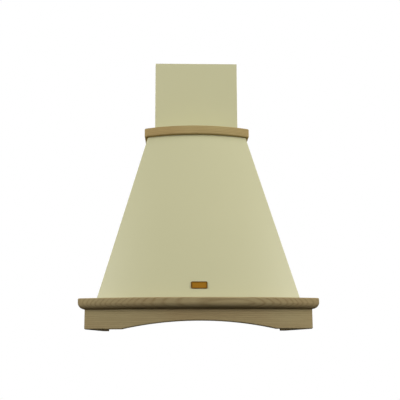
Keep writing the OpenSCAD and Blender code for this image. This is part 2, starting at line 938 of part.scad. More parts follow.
// Spring latch in the front bar: a bolt over the tray, a stem through the bar and a pull below
module filter_latch() {
    bolt_y = -filter_front - filter_gap + fit_gap;
    stem_y = bolt_y + 9;
    color(black) {
        translate([filter_mid - bolt_w / 2, bolt_y, bolt_z]) cube([bolt_w, bolt_l, bolt_t]);
        translate([filter_mid - 12, stem_y, filter_z - fit_gap - pull_t / 2])
            cube([24, 9, bolt_z - filter_z + fit_gap + pull_t]);
        translate([filter_mid - 20, stem_y - 4, filter_z - fit_gap - pull_t])
            cube([40, 14, pull_t]);
    }
}

module filter_frame_right() {
    filter_frame();
}

module filter_mesh_right() {
    filter_mesh();
}

module filter_latch_right() {
    filter_latch();
}

module filter_frame_left() {
    mirror([1, 0, 0]) filter_frame();
}

module filter_mesh_left() {
    mirror([1, 0, 0]) filter_mesh();
}

module filter_latch_left() {
    mirror([1, 0, 0]) filter_latch();
}

// Lights and controls

module at_lamps() {
    for (s = [-1, 1]) translate([s * lamp_x, -lamp_y, 0]) children();
}

// Finned heat sink of a spotlight, standing through the tray
module lamp_housings() {
    fins = 12;
    color(grey) at_lamps() {
        translate([0, 0, tray_z]) cylinder(r = lamp_can, h = 3);
        translate([0, 0, tray_z]) cylinder(r = 0.62 * lamp_can, h = lamp_core_h);
        for (i = [0:fins - 1]) rotate([0, 0, 360 * i / fins])
            translate([0, -lamp_fin_t / 2, tray_z + sheet_t])
                cube([lamp_can - lamp_fin_t, lamp_fin_t, lamp_fin_h]);
    }
}

module lamp_bezels() {
    r = lamp_d / 2;
    color(bright) at_lamps() rotate_extrude() difference() {
        union() {
            translate([lamp_lens + fit_gap, bezel_z])
                square([r - bezel_t - lamp_lens - fit_gap, bezel_t]);
            translate([r - bezel_t, tray_z]) circle(r = bezel_t);
        }
        translate([lamp_lens, tray_z]) square([r, 2 * bezel_t]);
    }
}

module lamp_lenses() {
    color([0.9, 0.9, 0.88]) at_lamps()
        translate([0, 0, bezel_z + 0.5]) cylinder(r = lamp_lens, h = bezel_t - 0.5);
}

button_xs = [for (i = [-2:2]) i * button_pitch];

module control_bezel() {
    color(black) translate([0, control_y, bezel_z]) linear_extrude(bezel_t) difference() {
        union() {
            square([control_w - 6, control_d], center = true);
            square([control_w, control_d - 6], center = true);
            for (x = [-1, 1]) for (y = [-1, 1])
                translate([x * (control_w / 2 - 3), y * (control_d / 2 - 3)]) circle(r = 3);
        }
        for (x = button_xs) translate([x, 0]) circle(r = button_d / 2 + button_run);
        translate([pilot_x, 0]) circle(r = pilot_r + run_gap);
    }
}

// Box over the tray that holds the switches
module control_housing() {
    w = control_w + 6;
    d = control_d + 4;
    color(grey) translate([0, control_y, fascia_h]) difference() {
        union() {
            translate([-w / 2, -d / 2, 0]) cube([w, d, housing_wall]);
            translate([-w / 2 + 5, -d / 2 + 3, 0]) cube([w - 10, d - 6, housing_h]);
        }
        translate([-w / 2 + 5 + housing_wall, -d / 2 + 3 + housing_wall, -eps])
            cube([w - 10 - 2 * housing_wall, d - 6 - 2 * housing_wall, housing_h - housing_wall + eps]);
    }
}

// Row of push switches hung under the housing's roof, with a plunger over each button
module switch_bank() {
    roof = fascia_h + housing_h - housing_wall;
    head = bezel_z + button_up + button_travel + 2 * button_collar;
    switch_w = 4 * button_pitch + 2 * button_d;
    switch_d = control_d / 2;
    color([0.8, 0.78, 0.7]) translate([0, control_y, 0]) {
        translate([-switch_w / 2, -switch_d / 2, head]) cube([switch_w, switch_d, roof - head]);
        for (x = button_xs)
            translate([x, 0, head - button_collar]) cylinder(d = 0.4 * button_d, h = 2 * button_collar);
    }
}

module pilot_light() {
    color([0.85, 0.25, 0.15]) translate([pilot_x, control_y, bezel_z]) {
        cylinder(r = pilot_r, h = bezel_t + 4);
        sphere(r = pilot_r, $fn = 32);
    }
}

// A round push button with a retaining collar above the bezel
module button(i) {
    color([0.75, 0.76, 0.77]) translate([button_xs[i], control_y, 0]) {
        translate([0, 0, bezel_z - button_down])
            cylinder(d = button_d, h = button_down + button_up);
        translate([0, 0, tray_z + fit_gap])
            cylinder(d = button_d + 3, h = button_collar);
    }
}

module button_stop() {
    button(0);
}

module button_slow() {
    button(1);
}

module button_medium() {
    button(2);
}

module button_fast() {
    button(3);
}

module button_lamps() {
    button(4);
}

// Blower

function scroll_radius(a) = scroll_start + scroll_growth * (a - 90) / 270;

// Side view of the scroll in (y, z) from the shaft, grown by a distance: a spiral that opens from
// the tongue round the front and bottom to the back, and the outlet that rises from it
function scroll_outline(grow, top) =
    let (first = 90 + asin(grow / (scroll_start + grow)))
    concat(
        [for (i = [0:scroll_steps])
            let (a = first + (360 - first) * i / scroll_steps, r = scroll_radius(a) + grow)
            [r * cos(a), r * sin(a)]],
        [[scroll_end + grow, top], [-grow, top]]);

module scroll_solid(grow, x0, x1, top) {
    translate([0, blower_y, blower_z]) along_x(x0, x1) polygon(scroll_outline(grow, top));
}

// Places of the screws along the seam, as (y, z)
function seam_points() =
    let (out = scroll_wall + seam_w / 2)
    concat(
        [for (a = seam_screw_angles)
            let (r = scroll_radius(a) + out) [blower_y + r * cos(a), blower_z + r * sin(a)]],
        [[blower_y + scroll_end + out, blower_z + 0.35 * outlet_rise],
         [blower_y + scroll_end + out, blower_z + 0.85 * outlet_rise],
         [blower_y - out, blower_z + 0.85 * outlet_rise]]);

function bush_points() = [[bush_y, bush_low], [bush_y, bush_high]];

// Bell mouth round an inlet, drawn in (radius, x)
module bell_profile() {
    wall = scroll_half - scroll_wall;
    difference() {
        translate([inlet_r + bell_r, scroll_half - bell_r]) circle(r = bell_r);
        translate([inlet_r + bell_r, scroll_half - bell_r]) circle(r = bell_r - scroll_wall);
        translate([inlet_r + bell_r, wall - 2 * bell_r]) square(3 * bell_r);
        translate([inlet_r - eps, wall - 3 * bell_r]) square([3 * bell_r, 2 * bell_r + scroll_wall]);
    }
    translate([inlet_r, scroll_half - bell_r - bell_l]) square([scroll_wall, bell_l]);
}

module scroll_right() {
    color(black) {
        difference() {
            union() {
                scroll_solid(scroll_wall, 0, scroll_half, outlet_rise);
                scroll_solid(scroll_wall + seam_w, 0, seam_t, outlet_rise);
            }
            scroll_solid(0, -eps, scroll_half - scroll_wall, outlet_rise + eps);
            x_hole(inlet_r + bell_r, scroll_half / 2, scroll_half + eps, blower_y, blower_z);
            for (p = seam_points()) x_hole(seam_screw_r + screw_gap, -eps, seam_t + eps, p.x, p.y);
            for (p = bush_points())
                x_hole(bush_screw_r + screw_gap, scroll_half - 2 * scroll_wall, scroll_half + eps,
                    p.x, p.y);
        }
        about_shaft() bell_profile();
    }
}

module scroll_left() {
    mirror([1, 0, 0]) scroll_right();
}

// A forward-curved blade in (y, z) from the shaft
function blade_side(shift) = [
    for (i = [0:6])
        let (s = i / 6,
             r = impeller_r - 1 - blade_depth * (1 - s),
             a = blade_sweep * s * s + shift)
        [r * cos(a), r * sin(a)]
];

module impeller() {
    half = impeller_w / 2;
    inner = impeller_r - 1 - blade_depth;
    back = blade_side(blade_t / impeller_r * 180 / PI);
    color(grey) {
        about_shaft() {
            for (x = [-half, half - disc_t])
                translate([inner - 1, x]) square([blade_depth + 2, disc_t]);
            translate([shaft_r + run_gap, -disc_t / 2])
                square([impeller_r - 2 - shaft_r - run_gap, disc_t]);
            translate([shaft_r + run_gap, -2 * motor_start])
                square([hub_r - shaft_r - run_gap, 2.5 * motor_start]);
        }
        translate([0, blower_y, blower_z]) along_x(-half + disc_t / 2, half - disc_t / 2)
            for (i = [0:blade_count - 1]) rotate(360 * i / blade_count)
                polygon(concat(blade_side(0), [for (k = [6:-1:0]) back[k]]));
    }
}

module motor_body() {
    bore = shaft_r + run_gap;
    r = motor_d / 2;
    cap = motor_l / 5;
    color(grey) difference() {
        about_shaft() polygon([
            [bore, motor_start], [0.55 * r, motor_start], [0.86 * r, motor_start + cap / 2],
            [0.95 * r, motor_start + cap], [r, motor_start + cap],
            [r, motor_end - cap], [0.95 * r, motor_end - cap],
            [0.86 * r, motor_end - cap / 2], [0.55 * r, motor_end], [bore, motor_end]
        ]);
        for (i = [0:7]) {
            a = 45 * i + 22.5;
            x_hole(0.07 * r, motor_start - eps, motor_start + 0.7 * cap,
                blower_y + 0.72 * r * cos(a), blower_z + 0.72 * r * sin(a));
            x_hole(0.07 * r, motor_end - 0.7 * cap, motor_end + eps,
                blower_y + 0.72 * r * cos(a), blower_z + 0.72 * r * sin(a));
        }
    }
}

module motor_shaft() {
    color(bright) x_hole(shaft_r, -2 * motor_start - 4, motor_end + 4, blower_y, blower_z);
}

// Cast spider across the right inlet, which carries the motor on its boss
module motor_spider() {
    rim = inlet_r + bell_r;
    middle = rim + spider_rim / 2;
    face = scroll_half;
    boss_in = 2 * shaft_r;
    color(grey) difference() {
        union() {
            about_shaft() {
                translate([rim, face]) square([spider_rim, spider_t]);
                translate([0.52 * inlet_r, face]) square([guard_wire, spider_t]);
                translate([boss_in, motor_end])
                    square([boss_r - boss_in, face + spider_t - motor_end]);
            }
            translate([0, blower_y, blower_z]) along_x(face, face + spider_t)
                for (i = [0:2]) rotate(120 * i + 90)
                    translate([boss_r - 1, -spider_arm / 2]) square([rim + 2 - boss_r, spider_arm]);
        }
        for (i = [0:2])
            x_hole(screw_r, face - eps, face + spider_t + eps,
                blower_y + middle * cos(120 * i + 90), blower_z + middle * sin(120 * i + 90));
    }
}

// Stamped guard over the left inlet: rings and spokes
module inlet_guard() {
    rim = inlet_r + bell_r;
    face = scroll_half;
    guard_t = 0.8 * spider_t;
    color(zinc) mirror([1, 0, 0]) {
        about_shaft() {
            translate([rim, face]) square([spider_rim, guard_t]);
            for (r = [0.72 * inlet_r, 0.42 * inlet_r, guard_wire])
                translate([r, face]) square([guard_wire, guard_t]);
        }
        translate([0, blower_y, blower_z]) along_x(face, face + guard_t)
            for (i = [0:3]) rotate(90 * i + 45)
                translate([1.5 * guard_wire, -guard_wire / 2]) square([rim, guard_wire]);
    }
}

module rubber_bushes() {
    color(black) mirrored_x() for (p = bush_points())
        translate([scroll_half, p.x, p.y]) rotate([0, 90, 0]) difference() {
            cylinder(r = bush_r, h = bush_t);
            translate([0, 0, -eps]) cylinder(r = bush_screw_r + screw_gap, h = bush_t + 2 * eps);
        }
}

// Cradle that carries the blower: a web on the back panel and two arms
module blower_bracket() {
    web = bracket_in + bracket_t;
    arm = -bush_y + bush_r + arm_edge;
    color(zinc) difference() {
        union() {
            translate([-web, -sheet_t - bracket_t, bracket_low])
                cube([2 * web, bracket_t, bracket_high - bracket_low]);
            for (x = [-web, bracket_in]) for (p = bush_points())
                translate([x, -arm, p.y - arm_h / 2]) cube([bracket_t, arm - sheet_t, arm_h]);
        }
        translate([-web + bracket_rim, -2 * arm, bracket_low + bracket_rim])
            cube([2 * (web - bracket_rim), 3 * arm, bracket_high - bracket_low - 2 * bracket_rim]);
        for (p = bush_points())
            x_hole(bush_screw_r + screw_gap, -2 * web, 2 * web, p.x, p.y);
        along_y(0, 3 * bracket_t + sheet_t) bracket_screw_places() circle(r = screw_r);
    }
}

// Flange on the scroll's outlet, tube through the top plate, and the spigot for the duct
module outlet_collar() {
    half_x = scroll_half + 2;
    half_y = scroll_end / 2 + scroll_wall + 3;
    seat_z = flap_z - flap_t / 2 - fit_gap;
    color(black) translate([0, collar_y, 0]) difference() {
        union() {
            translate([-half_x, -half_y, outlet_z]) cube([2 * half_x, 2 * half_y, collar_t]);
            translate([0, 0, outlet_z]) cylinder(r = collar_out, h = collar_step - outlet_z);
            translate([0, 0, outlet_z]) cylinder(r = spigot_r, h = spigot_top - outlet_z);
        }
        translate([0, 0, outlet_z - eps]) cylinder(r = collar_in - seat_w, h = seat_z - outlet_z + 2 * eps);
        translate([0, 0, outlet_z - eps]) cylinder(r = collar_in, h = seat_z - 2 - outlet_z + eps);
        translate([0, 0, seat_z]) cylinder(r = collar_in, h = spigot_top);
        x_hole(flap_pin_r + run_gap, -collar_out + 1, collar_out - 1, 0, flap_z);
    }
}

module flap_pin() {
    color(bright) x_hole(flap_pin_r, -collar_out + 1, collar_out - 1, collar_y, flap_z);
}

// Half of the damper: a half disc towards -y, hung on the pin by the knuckles at the given places
module flap(knuckles) {
    color(alloy) translate([0, collar_y, flap_z]) difference() {
        union() {
            translate([0, 0, -flap_t / 2]) linear_extrude(flap_t) intersection() {
                circle(r = flap_r);
                translate([-flap_r, -flap_r]) square([2 * flap_r, flap_r - flap_edge]);
            }
            for (k = knuckles) {
                x_hole(knuckle_r, k[0], k[1], 0, 0);
                translate([k[0], -flap_edge - 1, -flap_t / 2])
                    cube([k[1] - k[0], flap_edge, flap_t]);
            }
        }
        x_hole(flap_pin_r + run_gap, -flap_r, flap_r, 0, 0);
    }
}

outer_knuckles = [[-0.8 * flap_r, -0.5 * flap_r], [0.5 * flap_r, 0.8 * flap_r]];
inner_knuckles = [[-0.4 * flap_r, -0.1 * flap_r], [0.1 * flap_r, 0.4 * flap_r]];

module flap_front() {
    flap(outer_knuckles);
}

module flap_rear() {
    translate([0, 2 * collar_y, 0]) mirror([0, 1, 0]) flap(inner_knuckles);
}

// Electrical parts

module capacitor() {
    color([0.82, 0.83, 0.84]) translate([capacitor_x, capacitor_y, capacitor_z]) {
        cylinder(r = capacitor_r, h = capacitor_h);
        for (x = [-5, 5]) translate([x - 0.4, -3, capacitor_h - 1]) cube([0.8, 6, 9]);
    }
}

module capacitor_clip() {
    foot = capacitor_r + 16;
    color(zinc) difference() {
        translate([capacitor_x, 0, capacitor_z + capacitor_h / 2 - 7]) linear_extrude(14) difference() {
            union() {
                translate([0, capacitor_y]) circle(r = capacitor_r + 0.2 + 2.5);
                translate([-foot, -sheet_t - 1.5]) square([foot, 1.5]);
            }
            translate([0, capacitor_y]) circle(r = capacitor_r + 0.2);
            translate([-foot, -sheet_t]) square([2 * foot, 2 * foot]);
        }
        y_hole(screw_r, capacitor_x - foot + 6, capacitor_z + capacitor_h / 2, 10);
    }
}

module junction_box() {
    w = box_wall;
    color(grey) difference() {
        translate([box_x, -sheet_t - box_d, box_z]) cube([box_w, box_d, box_h]);
        translate([box_x + w, -sheet_t - box_d - eps, box_z + w])
            cube([box_w - 2 * w, box_d - w + eps, box_h - 2 * w]);
        z_hole(gland_r - 2 + fit_gap, gland_x, gland_y, box_z - eps, box_z + w + eps);
    }
}

module junction_lid() {
    y = -sheet_t - box_d - lid_t;
    inner = box_wall + fit_gap;
    color(grey) {
        translate([box_x, y, box_z]) cube([box_w, lid_t, box_h]);
        translate([box_x + inner, y + lid_t / 2, box_z + inner])
            cube([box_w - 2 * inner, lid_t / 2 + 2, box_h - 2 * inner]);
    }
}

// Gland for the mains lead: thread through the box, nut inside, hexagon and dome outside
module cable_gland() {
    color(black) translate([gland_x, gland_y, box_z]) difference() {
        union() {
            translate([0, 0, -6]) cylinder(r = gland_r - 2, h = 6 + box_wall + 7);
            translate([0, 0, box_wall]) cylinder(r = gland_r, h = 5, $fn = 6);
            translate([0, 0, -8]) cylinder(r = gland_r, h = 8, $fn = 6);
            translate([0, 0, -17]) cylinder(r1 = gland_r - 4, r2 = gland_r - 1.5, h = 10);
        }
        translate([0, 0, -30]) cylinder(r = gland_bore, h = 60);
    }
}

// Fasteners

// Pan-head screw, its head downwards from the origin and its shank upwards
module screw(shank_r, head_r, head_h, length) {
    translate([0, 0, -head_h]) cylinder(r = head_r, h = head_h);
    translate([0, 0, -head_h / 2]) cylinder(r = shank_r, h = head_h / 2 + length);
}

// Screws that hold the tray under the cornice and the canopy's foot on it
module frame_screws() {
    grip = screw_l - 1;
    color(bright) {
        mirrored_x() {
            for (y = side_screws)
                translate([side_screw_x, y, tray_z]) screw(screw_r, screw_head, screw_head_h, grip);
            for (y = foot_screws)
                translate([foot_screw_x, y, base_z + sheet_t]) mirror([0, 0, 1])
                    screw(screw_r, screw_head, screw_head_h, grip);
            translate([foot_front_x, foot_front_y, base_z + sheet_t]) mirror([0, 0, 1])
                screw(screw_r, screw_head, screw_head_h, grip);
        }
        at_front_screws() translate([0, 0, tray_z]) screw(screw_r, screw_head, screw_head_h, grip);
    }
}

// Screws along the scroll's seam and through the rubber bushes
module blower_screws() {
    color(bright) {
        for (p = seam_points())
            translate([seam_t, p.x, p.y]) rotate([0, -90, 0])
                screw(seam_screw_r, 2 * seam_screw_r, 2, 2 * seam_t + 1);
        mirrored_x() for (p = bush_points())
            translate([bracket_in + bracket_t, p.x, p.y]) rotate([0, -90, 0])
                screw(bush_screw_r, 2 * bush_screw_r, 3, bracket_t + bush_t + 2 * scroll_wall);
    }
}

// Screws that hold the outer cover on the top plate
module chimney_screws() {
    color(bright) at_chimney_screws() translate([0, 0, top_z + sheet_t]) mirror([0, 0, 1])
        screw(chimney_screw_r, 1.6 * chimney_screw_r, 2, 3 * sheet_t + 4);
}

front_fascia();
side_board_left();
side_board_right();
cornice_front();
cornice_left();
cornice_right();
corner_blocks();
band_front();
band_left();
band_right();
canopy_shell();
back_panel();
top_plate();
badge_plate();
chimney_lower();
chimney_upper();
chimney_bracket();
base_tray();
filter_frame_left();
filter_mesh_left();
filter_latch_left();
filter_frame_right();
filter_mesh_right();
filter_latch_right();
lamp_housings();
lamp_bezels();
lamp_lenses();
control_bezel();
control_housing();
switch_bank();
pilot_light();
button_stop();
button_slow();
button_medium();
button_fast();
button_lamps();
scroll_left();
scroll_right();
impeller();
motor_body();
motor_shaft();
motor_spider();
inlet_guard();
rubber_bushes();
blower_bracket();
outlet_collar();
flap_front();
flap_rear();
flap_pin();
capacitor();
capacitor_clip();
junction_box();
junction_lid();
cable_gland();
frame_screws();
blower_screws();
chimney_screws();
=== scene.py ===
# %% [markdown]
# # A country-style wall hood
# The hood is a painted steel canopy that stands on a wooden frame and carries a square chimney.
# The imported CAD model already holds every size, so the look is built round it: the parts that are
# seen are modelled again with soft edges, fine mesh and real bends, and every surface gets a
# finish made of nodes. All places are in metres, with the wall at y = 0 and the boards' underside
# at z = 0.

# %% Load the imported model
import math

import bmesh
import bpy
from mathutils import Matrix, Vector


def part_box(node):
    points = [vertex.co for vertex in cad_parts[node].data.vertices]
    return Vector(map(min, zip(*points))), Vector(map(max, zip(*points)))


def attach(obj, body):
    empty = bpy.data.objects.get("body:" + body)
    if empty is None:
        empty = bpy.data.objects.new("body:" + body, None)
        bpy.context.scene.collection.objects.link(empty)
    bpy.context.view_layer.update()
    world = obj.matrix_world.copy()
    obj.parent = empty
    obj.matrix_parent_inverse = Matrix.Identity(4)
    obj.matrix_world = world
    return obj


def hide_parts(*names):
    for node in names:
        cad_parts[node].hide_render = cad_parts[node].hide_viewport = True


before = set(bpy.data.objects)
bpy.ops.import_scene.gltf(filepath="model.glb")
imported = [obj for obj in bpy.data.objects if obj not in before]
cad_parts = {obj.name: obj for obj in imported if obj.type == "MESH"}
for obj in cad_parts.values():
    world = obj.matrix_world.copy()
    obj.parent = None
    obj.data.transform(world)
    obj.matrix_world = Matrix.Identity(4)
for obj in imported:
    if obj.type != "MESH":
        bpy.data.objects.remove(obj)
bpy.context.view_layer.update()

# %% [markdown]
# ## The camera
# The photograph was taken from a little below the boards and looks slightly up and to the right.
# A camera can be placed by eye and turned with its rotation values, or by the three directions
# that it holds: ahead, to the right and up. The directions come straight from a fit to the
# photograph, so they are used as they are, as the columns of the camera's matrix.

# %% Place the camera
CAMERA_PLACE = Vector((-0.0533, -2.3010, -0.0219))
YAW, PITCH, ROLL = 0.0308, 0.1866, 0.0034
FOCAL_LENGTH, SENSOR = 65.86, 36

ahead = Vector((math.sin(YAW) * math.cos(PITCH), math.cos(YAW) * math.cos(PITCH), math.sin(PITCH)))
level_right = Vector((math.cos(YAW), -math.sin(YAW), 0))
level_up = level_right.cross(ahead)
right = level_right * math.cos(ROLL) - level_up * math.sin(ROLL)
up = level_right * math.sin(ROLL) + level_up * math.cos(ROLL)

camera_data = bpy.data.cameras.new("photo_camera")
camera_data.sensor_width = SENSOR
camera_data.lens = FOCAL_LENGTH
camera = bpy.data.objects.new("photo_camera", camera_data)
bpy.context.scene.collection.objects.link(camera)
turned = Matrix((right, up, -ahead)).transposed().to_4x4()
camera.matrix_world = Matrix.Translation(CAMERA_PLACE) @ turned
bpy.context.scene.camera = camera
print("camera looks along", [round(v, 3) for v in ahead])

# %% [markdown]
# ## Tools for modelling by hand
# Every new piece starts as a primitive and is shaped in edit mode, as it would be by hand. The
# operators act on whatever is selected, so each helper first clears the selection, and faces and
# edges are then picked by a small test of where they are and which way they point.

# %% Selecting and editing
def rest():
    """Object mode, with nothing selected."""
    if bpy.context.mode != "OBJECT":
        bpy.ops.object.mode_set(mode="OBJECT")
    bpy.ops.object.select_all(action="DESELECT")


def take(piece):
    """Makes a piece the only one selected."""
    rest()
    piece.select_set(True)
    bpy.context.view_layer.objects.active = piece


def keep_place(name, scale=(1, 1, 1)):
    """Names the new piece, scales it, and moves its size and place into its mesh."""
    piece = bpy.context.object
    piece.name = name
    piece.scale = scale
    take(piece)
    bpy.ops.object.transform_apply(location=True, rotation=True, scale=True)
    return piece


def edit(piece):
    """Opens a piece in edit mode with everything selected."""
    take(piece)
    bpy.ops.object.mode_set(mode="EDIT")
    bpy.ops.mesh.select_all(action="SELECT")


def pick(piece, kind, test):
    """In edit mode, selects the parts of one kind whose middle and direction pass a test.

    The direction is a face's or vertex's normal, or runs along an edge."""
    bpy.ops.mesh.select_mode(type=kind)
    bpy.ops.mesh.select_all(action="DESELECT")
    mesh = bmesh.from_edit_mesh(piece.data)
    if kind == "VERT":
        parts = [(v, v.co, v.normal) for v in mesh.verts]
    elif kind == "EDGE":
        ends = [(e, *(v.co for v in e.verts)) for e in mesh.edges]
        parts = [(e, (a + b) / 2, (b - a).normalized()) for e, a, b in ends]
    else:
        parts = [(f, f.calc_center_median(), f.normal) for f in mesh.faces]
    for part in [part for part, middle, direction in parts if test(middle, direction)]:
        part.select_set(True)
    mesh.select_flush_mode()
    bmesh.update_edit_mesh(piece.data)


def near(a, b, reach=1e-5):
    return abs(a - b) < reach


# %% Shaping
def block(name, low, high):
    """A box between two corners."""
    rest()
    middle = [(a + b) / 2 for a, b in zip(low, high)]
    size = [b - a for a, b in zip(low, high)]
    bpy.ops.mesh.primitive_cube_add(size=1, location=middle)
    return keep_place(name, size)


def disc(name, radius, low, high, x=0.0, y=0.0, sides=48):
    """An upright cylinder."""
    rest()
    bpy.ops.mesh.primitive_cylinder_add(
        vertices=sides, radius=radius, depth=high - low, location=(x, y, (low + high) / 2))
    return keep_place(name)


def section(name, inner, outer, low, high, angle, centre):
    """An upright rectangle between two distances from (0, centre), at an angle from the front."""
    rest()
    middle = (inner + outer) / 2
    bpy.ops.mesh.primitive_plane_add(
        size=1,
        location=(middle * math.sin(angle), centre - middle * math.cos(angle), (low + high) / 2),
        rotation=(math.pi / 2, 0, angle - math.pi / 2))
    return keep_place(name, (outer - inner, high - low, 1))


def go(x, y, z):
    """Takes the selected face or edge straight on, leaving its surface behind."""
    bpy.ops.mesh.extrude_region_move(TRANSFORM_OT_translate={"value": (x, y, z)})


def turn(centre, angle, steps):
    """Takes it round an upright axis, clockwise from above."""
    bpy.ops.mesh.spin(steps=steps, angle=angle, center=(*centre, 0), axis=(0, 0, 1))


def bevel(width, segments, affect="EDGES"):
    """Rounds the selected edges, or vertices of an outline."""
    bpy.ops.mesh.bevel(affect=affect, offset=width, segments=segments)


def slice_all(place, normal, **settings):
    """Selects everything in edit mode and cuts it along a plane."""
    bpy.ops.mesh.select_all(action="SELECT")
    bpy.ops.mesh.bisect(plane_co=place, plane_no=normal, **settings)


def modify(piece, kind, **settings):
    """Adds a modifier and applies it."""
    take(piece)
    modifier = piece.modifiers.new(kind.lower(), kind)
    for key, value in settings.items():
        setattr(modifier, key, value)
    bpy.ops.object.modifier_apply(modifier=modifier.name)


def repeat(piece, count, offset, **more):
    """Repeats a piece in a row."""
    modify(piece, "ARRAY", count=count, use_relative_offset=False, use_constant_offset=True,
           constant_offset_displace=offset, **more)


def cut(piece, tool):
    """Takes the tool's shape out of a piece, and throws the tool away."""
    modify(piece, "BOOLEAN", operation="DIFFERENCE", object=tool, solver="EXACT")
    bpy.data.objects.remove(tool)


def face_out(piece):
    """Turns all normals of a closed piece outwards."""
    edit(piece)
    bpy.ops.mesh.normals_make_consistent()
    rest()


def ease(piece, width, angle=40):
    """Rounds every edge sharper than an angle."""
    modify(piece, "BEVEL", width=width, segments=2, limit_method="ANGLE",
           angle_limit=math.radians(angle), use_clamp_overlap=False)


def smooth(piece, angle=35):
    """Smooths the edges under an angle, and keeps large faces flat beside their rounded edges."""
    take(piece)
    bpy.ops.object.shade_smooth_by_angle(angle=math.radians(angle))
    modify(piece, "WEIGHTED_NORMAL", keep_sharp=True)


def join(name, pieces):
    """Makes one piece of several."""
    take(pieces[0])
    for piece in pieces[1:]:
        piece.select_set(True)
    bpy.ops.object.join()
    pieces[0].name = name
    return pieces[0]


def to_side(piece, side):
    """Leaves a piece on the right (1), or mirrors it to the left (-1)."""
    piece.data.transform(Matrix.Scale(side, 4, (1, 0, 0)))


def copy_of(piece, name, place):
    """A copy with its own mesh, moved to its place in the mesh."""
    made = bpy.data.objects.new(name, piece.data.copy())
    made.data.transform(place)
    bpy.context.scene.collection.objects.link(made)
    return made


# %% [markdown]
# ## Tools for finishes
# A finish is a tree of nodes on the Principled shader. Long chains of Math nodes are hard to read,
# so numbers that vary over a surface are wrapped in a small class whose plus, minus and times add
# the nodes. All patterns are placed by object coordinates, which are the real places in metres,
# so a grain of 4 mm is written as 0.004.

# %% Numbers that vary over a surface
class Level:
    """A number from a socket. Arithmetic on it adds Math nodes."""

    def __init__(self, shading, socket):
        self.shading = shading
        self.socket = socket

    def __add__(self, other):
        return self.shading.maths("ADD", self, other)

    __radd__ = __add__

    def __sub__(self, other):
        return self.shading.maths("SUBTRACT", self, other)

    def __rsub__(self, other):
        return self.shading.maths("SUBTRACT", other, self)

    def __mul__(self, other):
        return self.shading.maths("MULTIPLY", self, other)

    __rmul__ = __mul__

    def __truediv__(self, other):
        return self.shading.maths("DIVIDE", self, other)

    def __pow__(self, power):
        return self.shading.maths("POWER", self, power)


# %% Node trees
class Shading:
    """A node tree, and the one method that adds nodes to it."""

    def __init__(self, tree):
        self.nodes = tree.nodes
        self.links = tree.links

    def node(self, kind, settings=None, sockets=None):
        """Adds a node, sets its settings, then gives its sockets values or links."""
        made = self.nodes.new(kind)
        for key, value in (settings or {}).items():
            setattr(made, key, value)
        for key, value in (sockets or {}).items():
            self.feed(made.inputs[key], value)
        return made

    def feed(self, socket, value):
        """Gives a socket a value, or a link from a level or another socket."""
        if isinstance(value, Level):
            value = value.socket
        if isinstance(value, bpy.types.NodeSocket):
            self.links.new(value, socket)
        else:
            socket.default_value = value

    def maths(self, operation, *values):
        made = self.node("ShaderNodeMath", {"operation": operation}, dict(enumerate(values)))
        return Level(self, made.outputs[0])

    def blend(self, factor, first, second, mode="MIX"):
        """Mixes two colours by a factor."""
        made = self.node("ShaderNodeMix", {"data_type": "RGBA", "blend_type": mode},
                         {0: factor, 6: first, 7: second})
        return made.outputs[2]

    def between(self, level, low, high):
        """0 at low, 1 at high, clamped."""
        sockets = {"Value": level, "From Min": low, "From Max": high}
        made = self.node("ShaderNodeMapRange", {}, sockets)
        return Level(self, made.outputs[0])


class Finish(Shading):
    """A material with a Principled shader."""

    def __init__(self, name, colour, roughness, **fixed):
        self.material = bpy.data.materials.new(name)
        self.material.use_nodes = True
        super().__init__(self.material.node_tree)
        self.shader = self.nodes["Principled BSDF"]
        self.place = self.node("ShaderNodeTexCoord").outputs["Object"]
        self.give(**{"Base Color": colour, "Roughness": roughness}, **fixed)

    def give(self, **sockets):
        """Gives the shader's sockets values or links; underscores stand for spaces."""
        for key, value in sockets.items():
            self.feed(self.shader.inputs[key.replace("_", " ")], value)

    def noise(self, scale, detail=2.0, rough=0.5):
        """Cloudy noise, with a scale for each axis in cycles per metre."""
        place = self.node("ShaderNodeMapping", {}, {"Vector": self.place, "Scale": scale})
        sockets = {"Vector": place.outputs[0], "Scale": 1.0, "Detail": detail, "Roughness": rough}
        return Level(self, self.node("ShaderNodeTexNoise", {}, sockets).outputs[0])

    def axes(self):
        """x, y and z as three levels."""
        made = self.node("ShaderNodeSeparateXYZ", {}, {"Vector": self.place})
        return [Level(self, made.outputs[i]) for i in range(3)]

    def tinted(self, colour, level, low, high=(255, 255, 255)):
        """A colour times a shade that goes from low to high with a level."""
        shade = self.blend(level, srgb(*low), srgb(*high))
        return self.blend(1.0, colour, shade, "MULTIPLY")

    def relief(self, height, depth, strength):
        """Bumps the surface by a height from 0 to 1, with its depth in metres."""
        sockets = {"Height": height, "Distance": depth, "Strength": strength}
        if self.shader.inputs["Normal"].links:
            sockets["Normal"] = self.shader.inputs["Normal"].links[0].from_socket
        self.give(Normal=self.node("ShaderNodeBump", {}, sockets).outputs[0])


def srgb(red, green, blue):
    """A linear colour from the 0 to 255 values of a picture."""
    return (*(((v / 255 + 0.055) / 1.055) ** 2.4 for v in (red, green, blue)), 1.0)


# %% [markdown]
# ## Sizes of the bowed frame
# The frame, the canopy and the band all bow out at the front. Each is an arc of a circle, known
# from its half width and its bow, so two short functions give every curve the same way as the
# CAD model does. The arch under the front board is drawn with them too.

# %% Arcs
def arc_radius(half, bow):
    return (half * half + bow * bow) / (2 * bow)


def arc_depth(radius, centre, x):
    """Where an arc round (0, centre) passes at x."""
    return centre - math.sqrt(radius * radius - x * x)


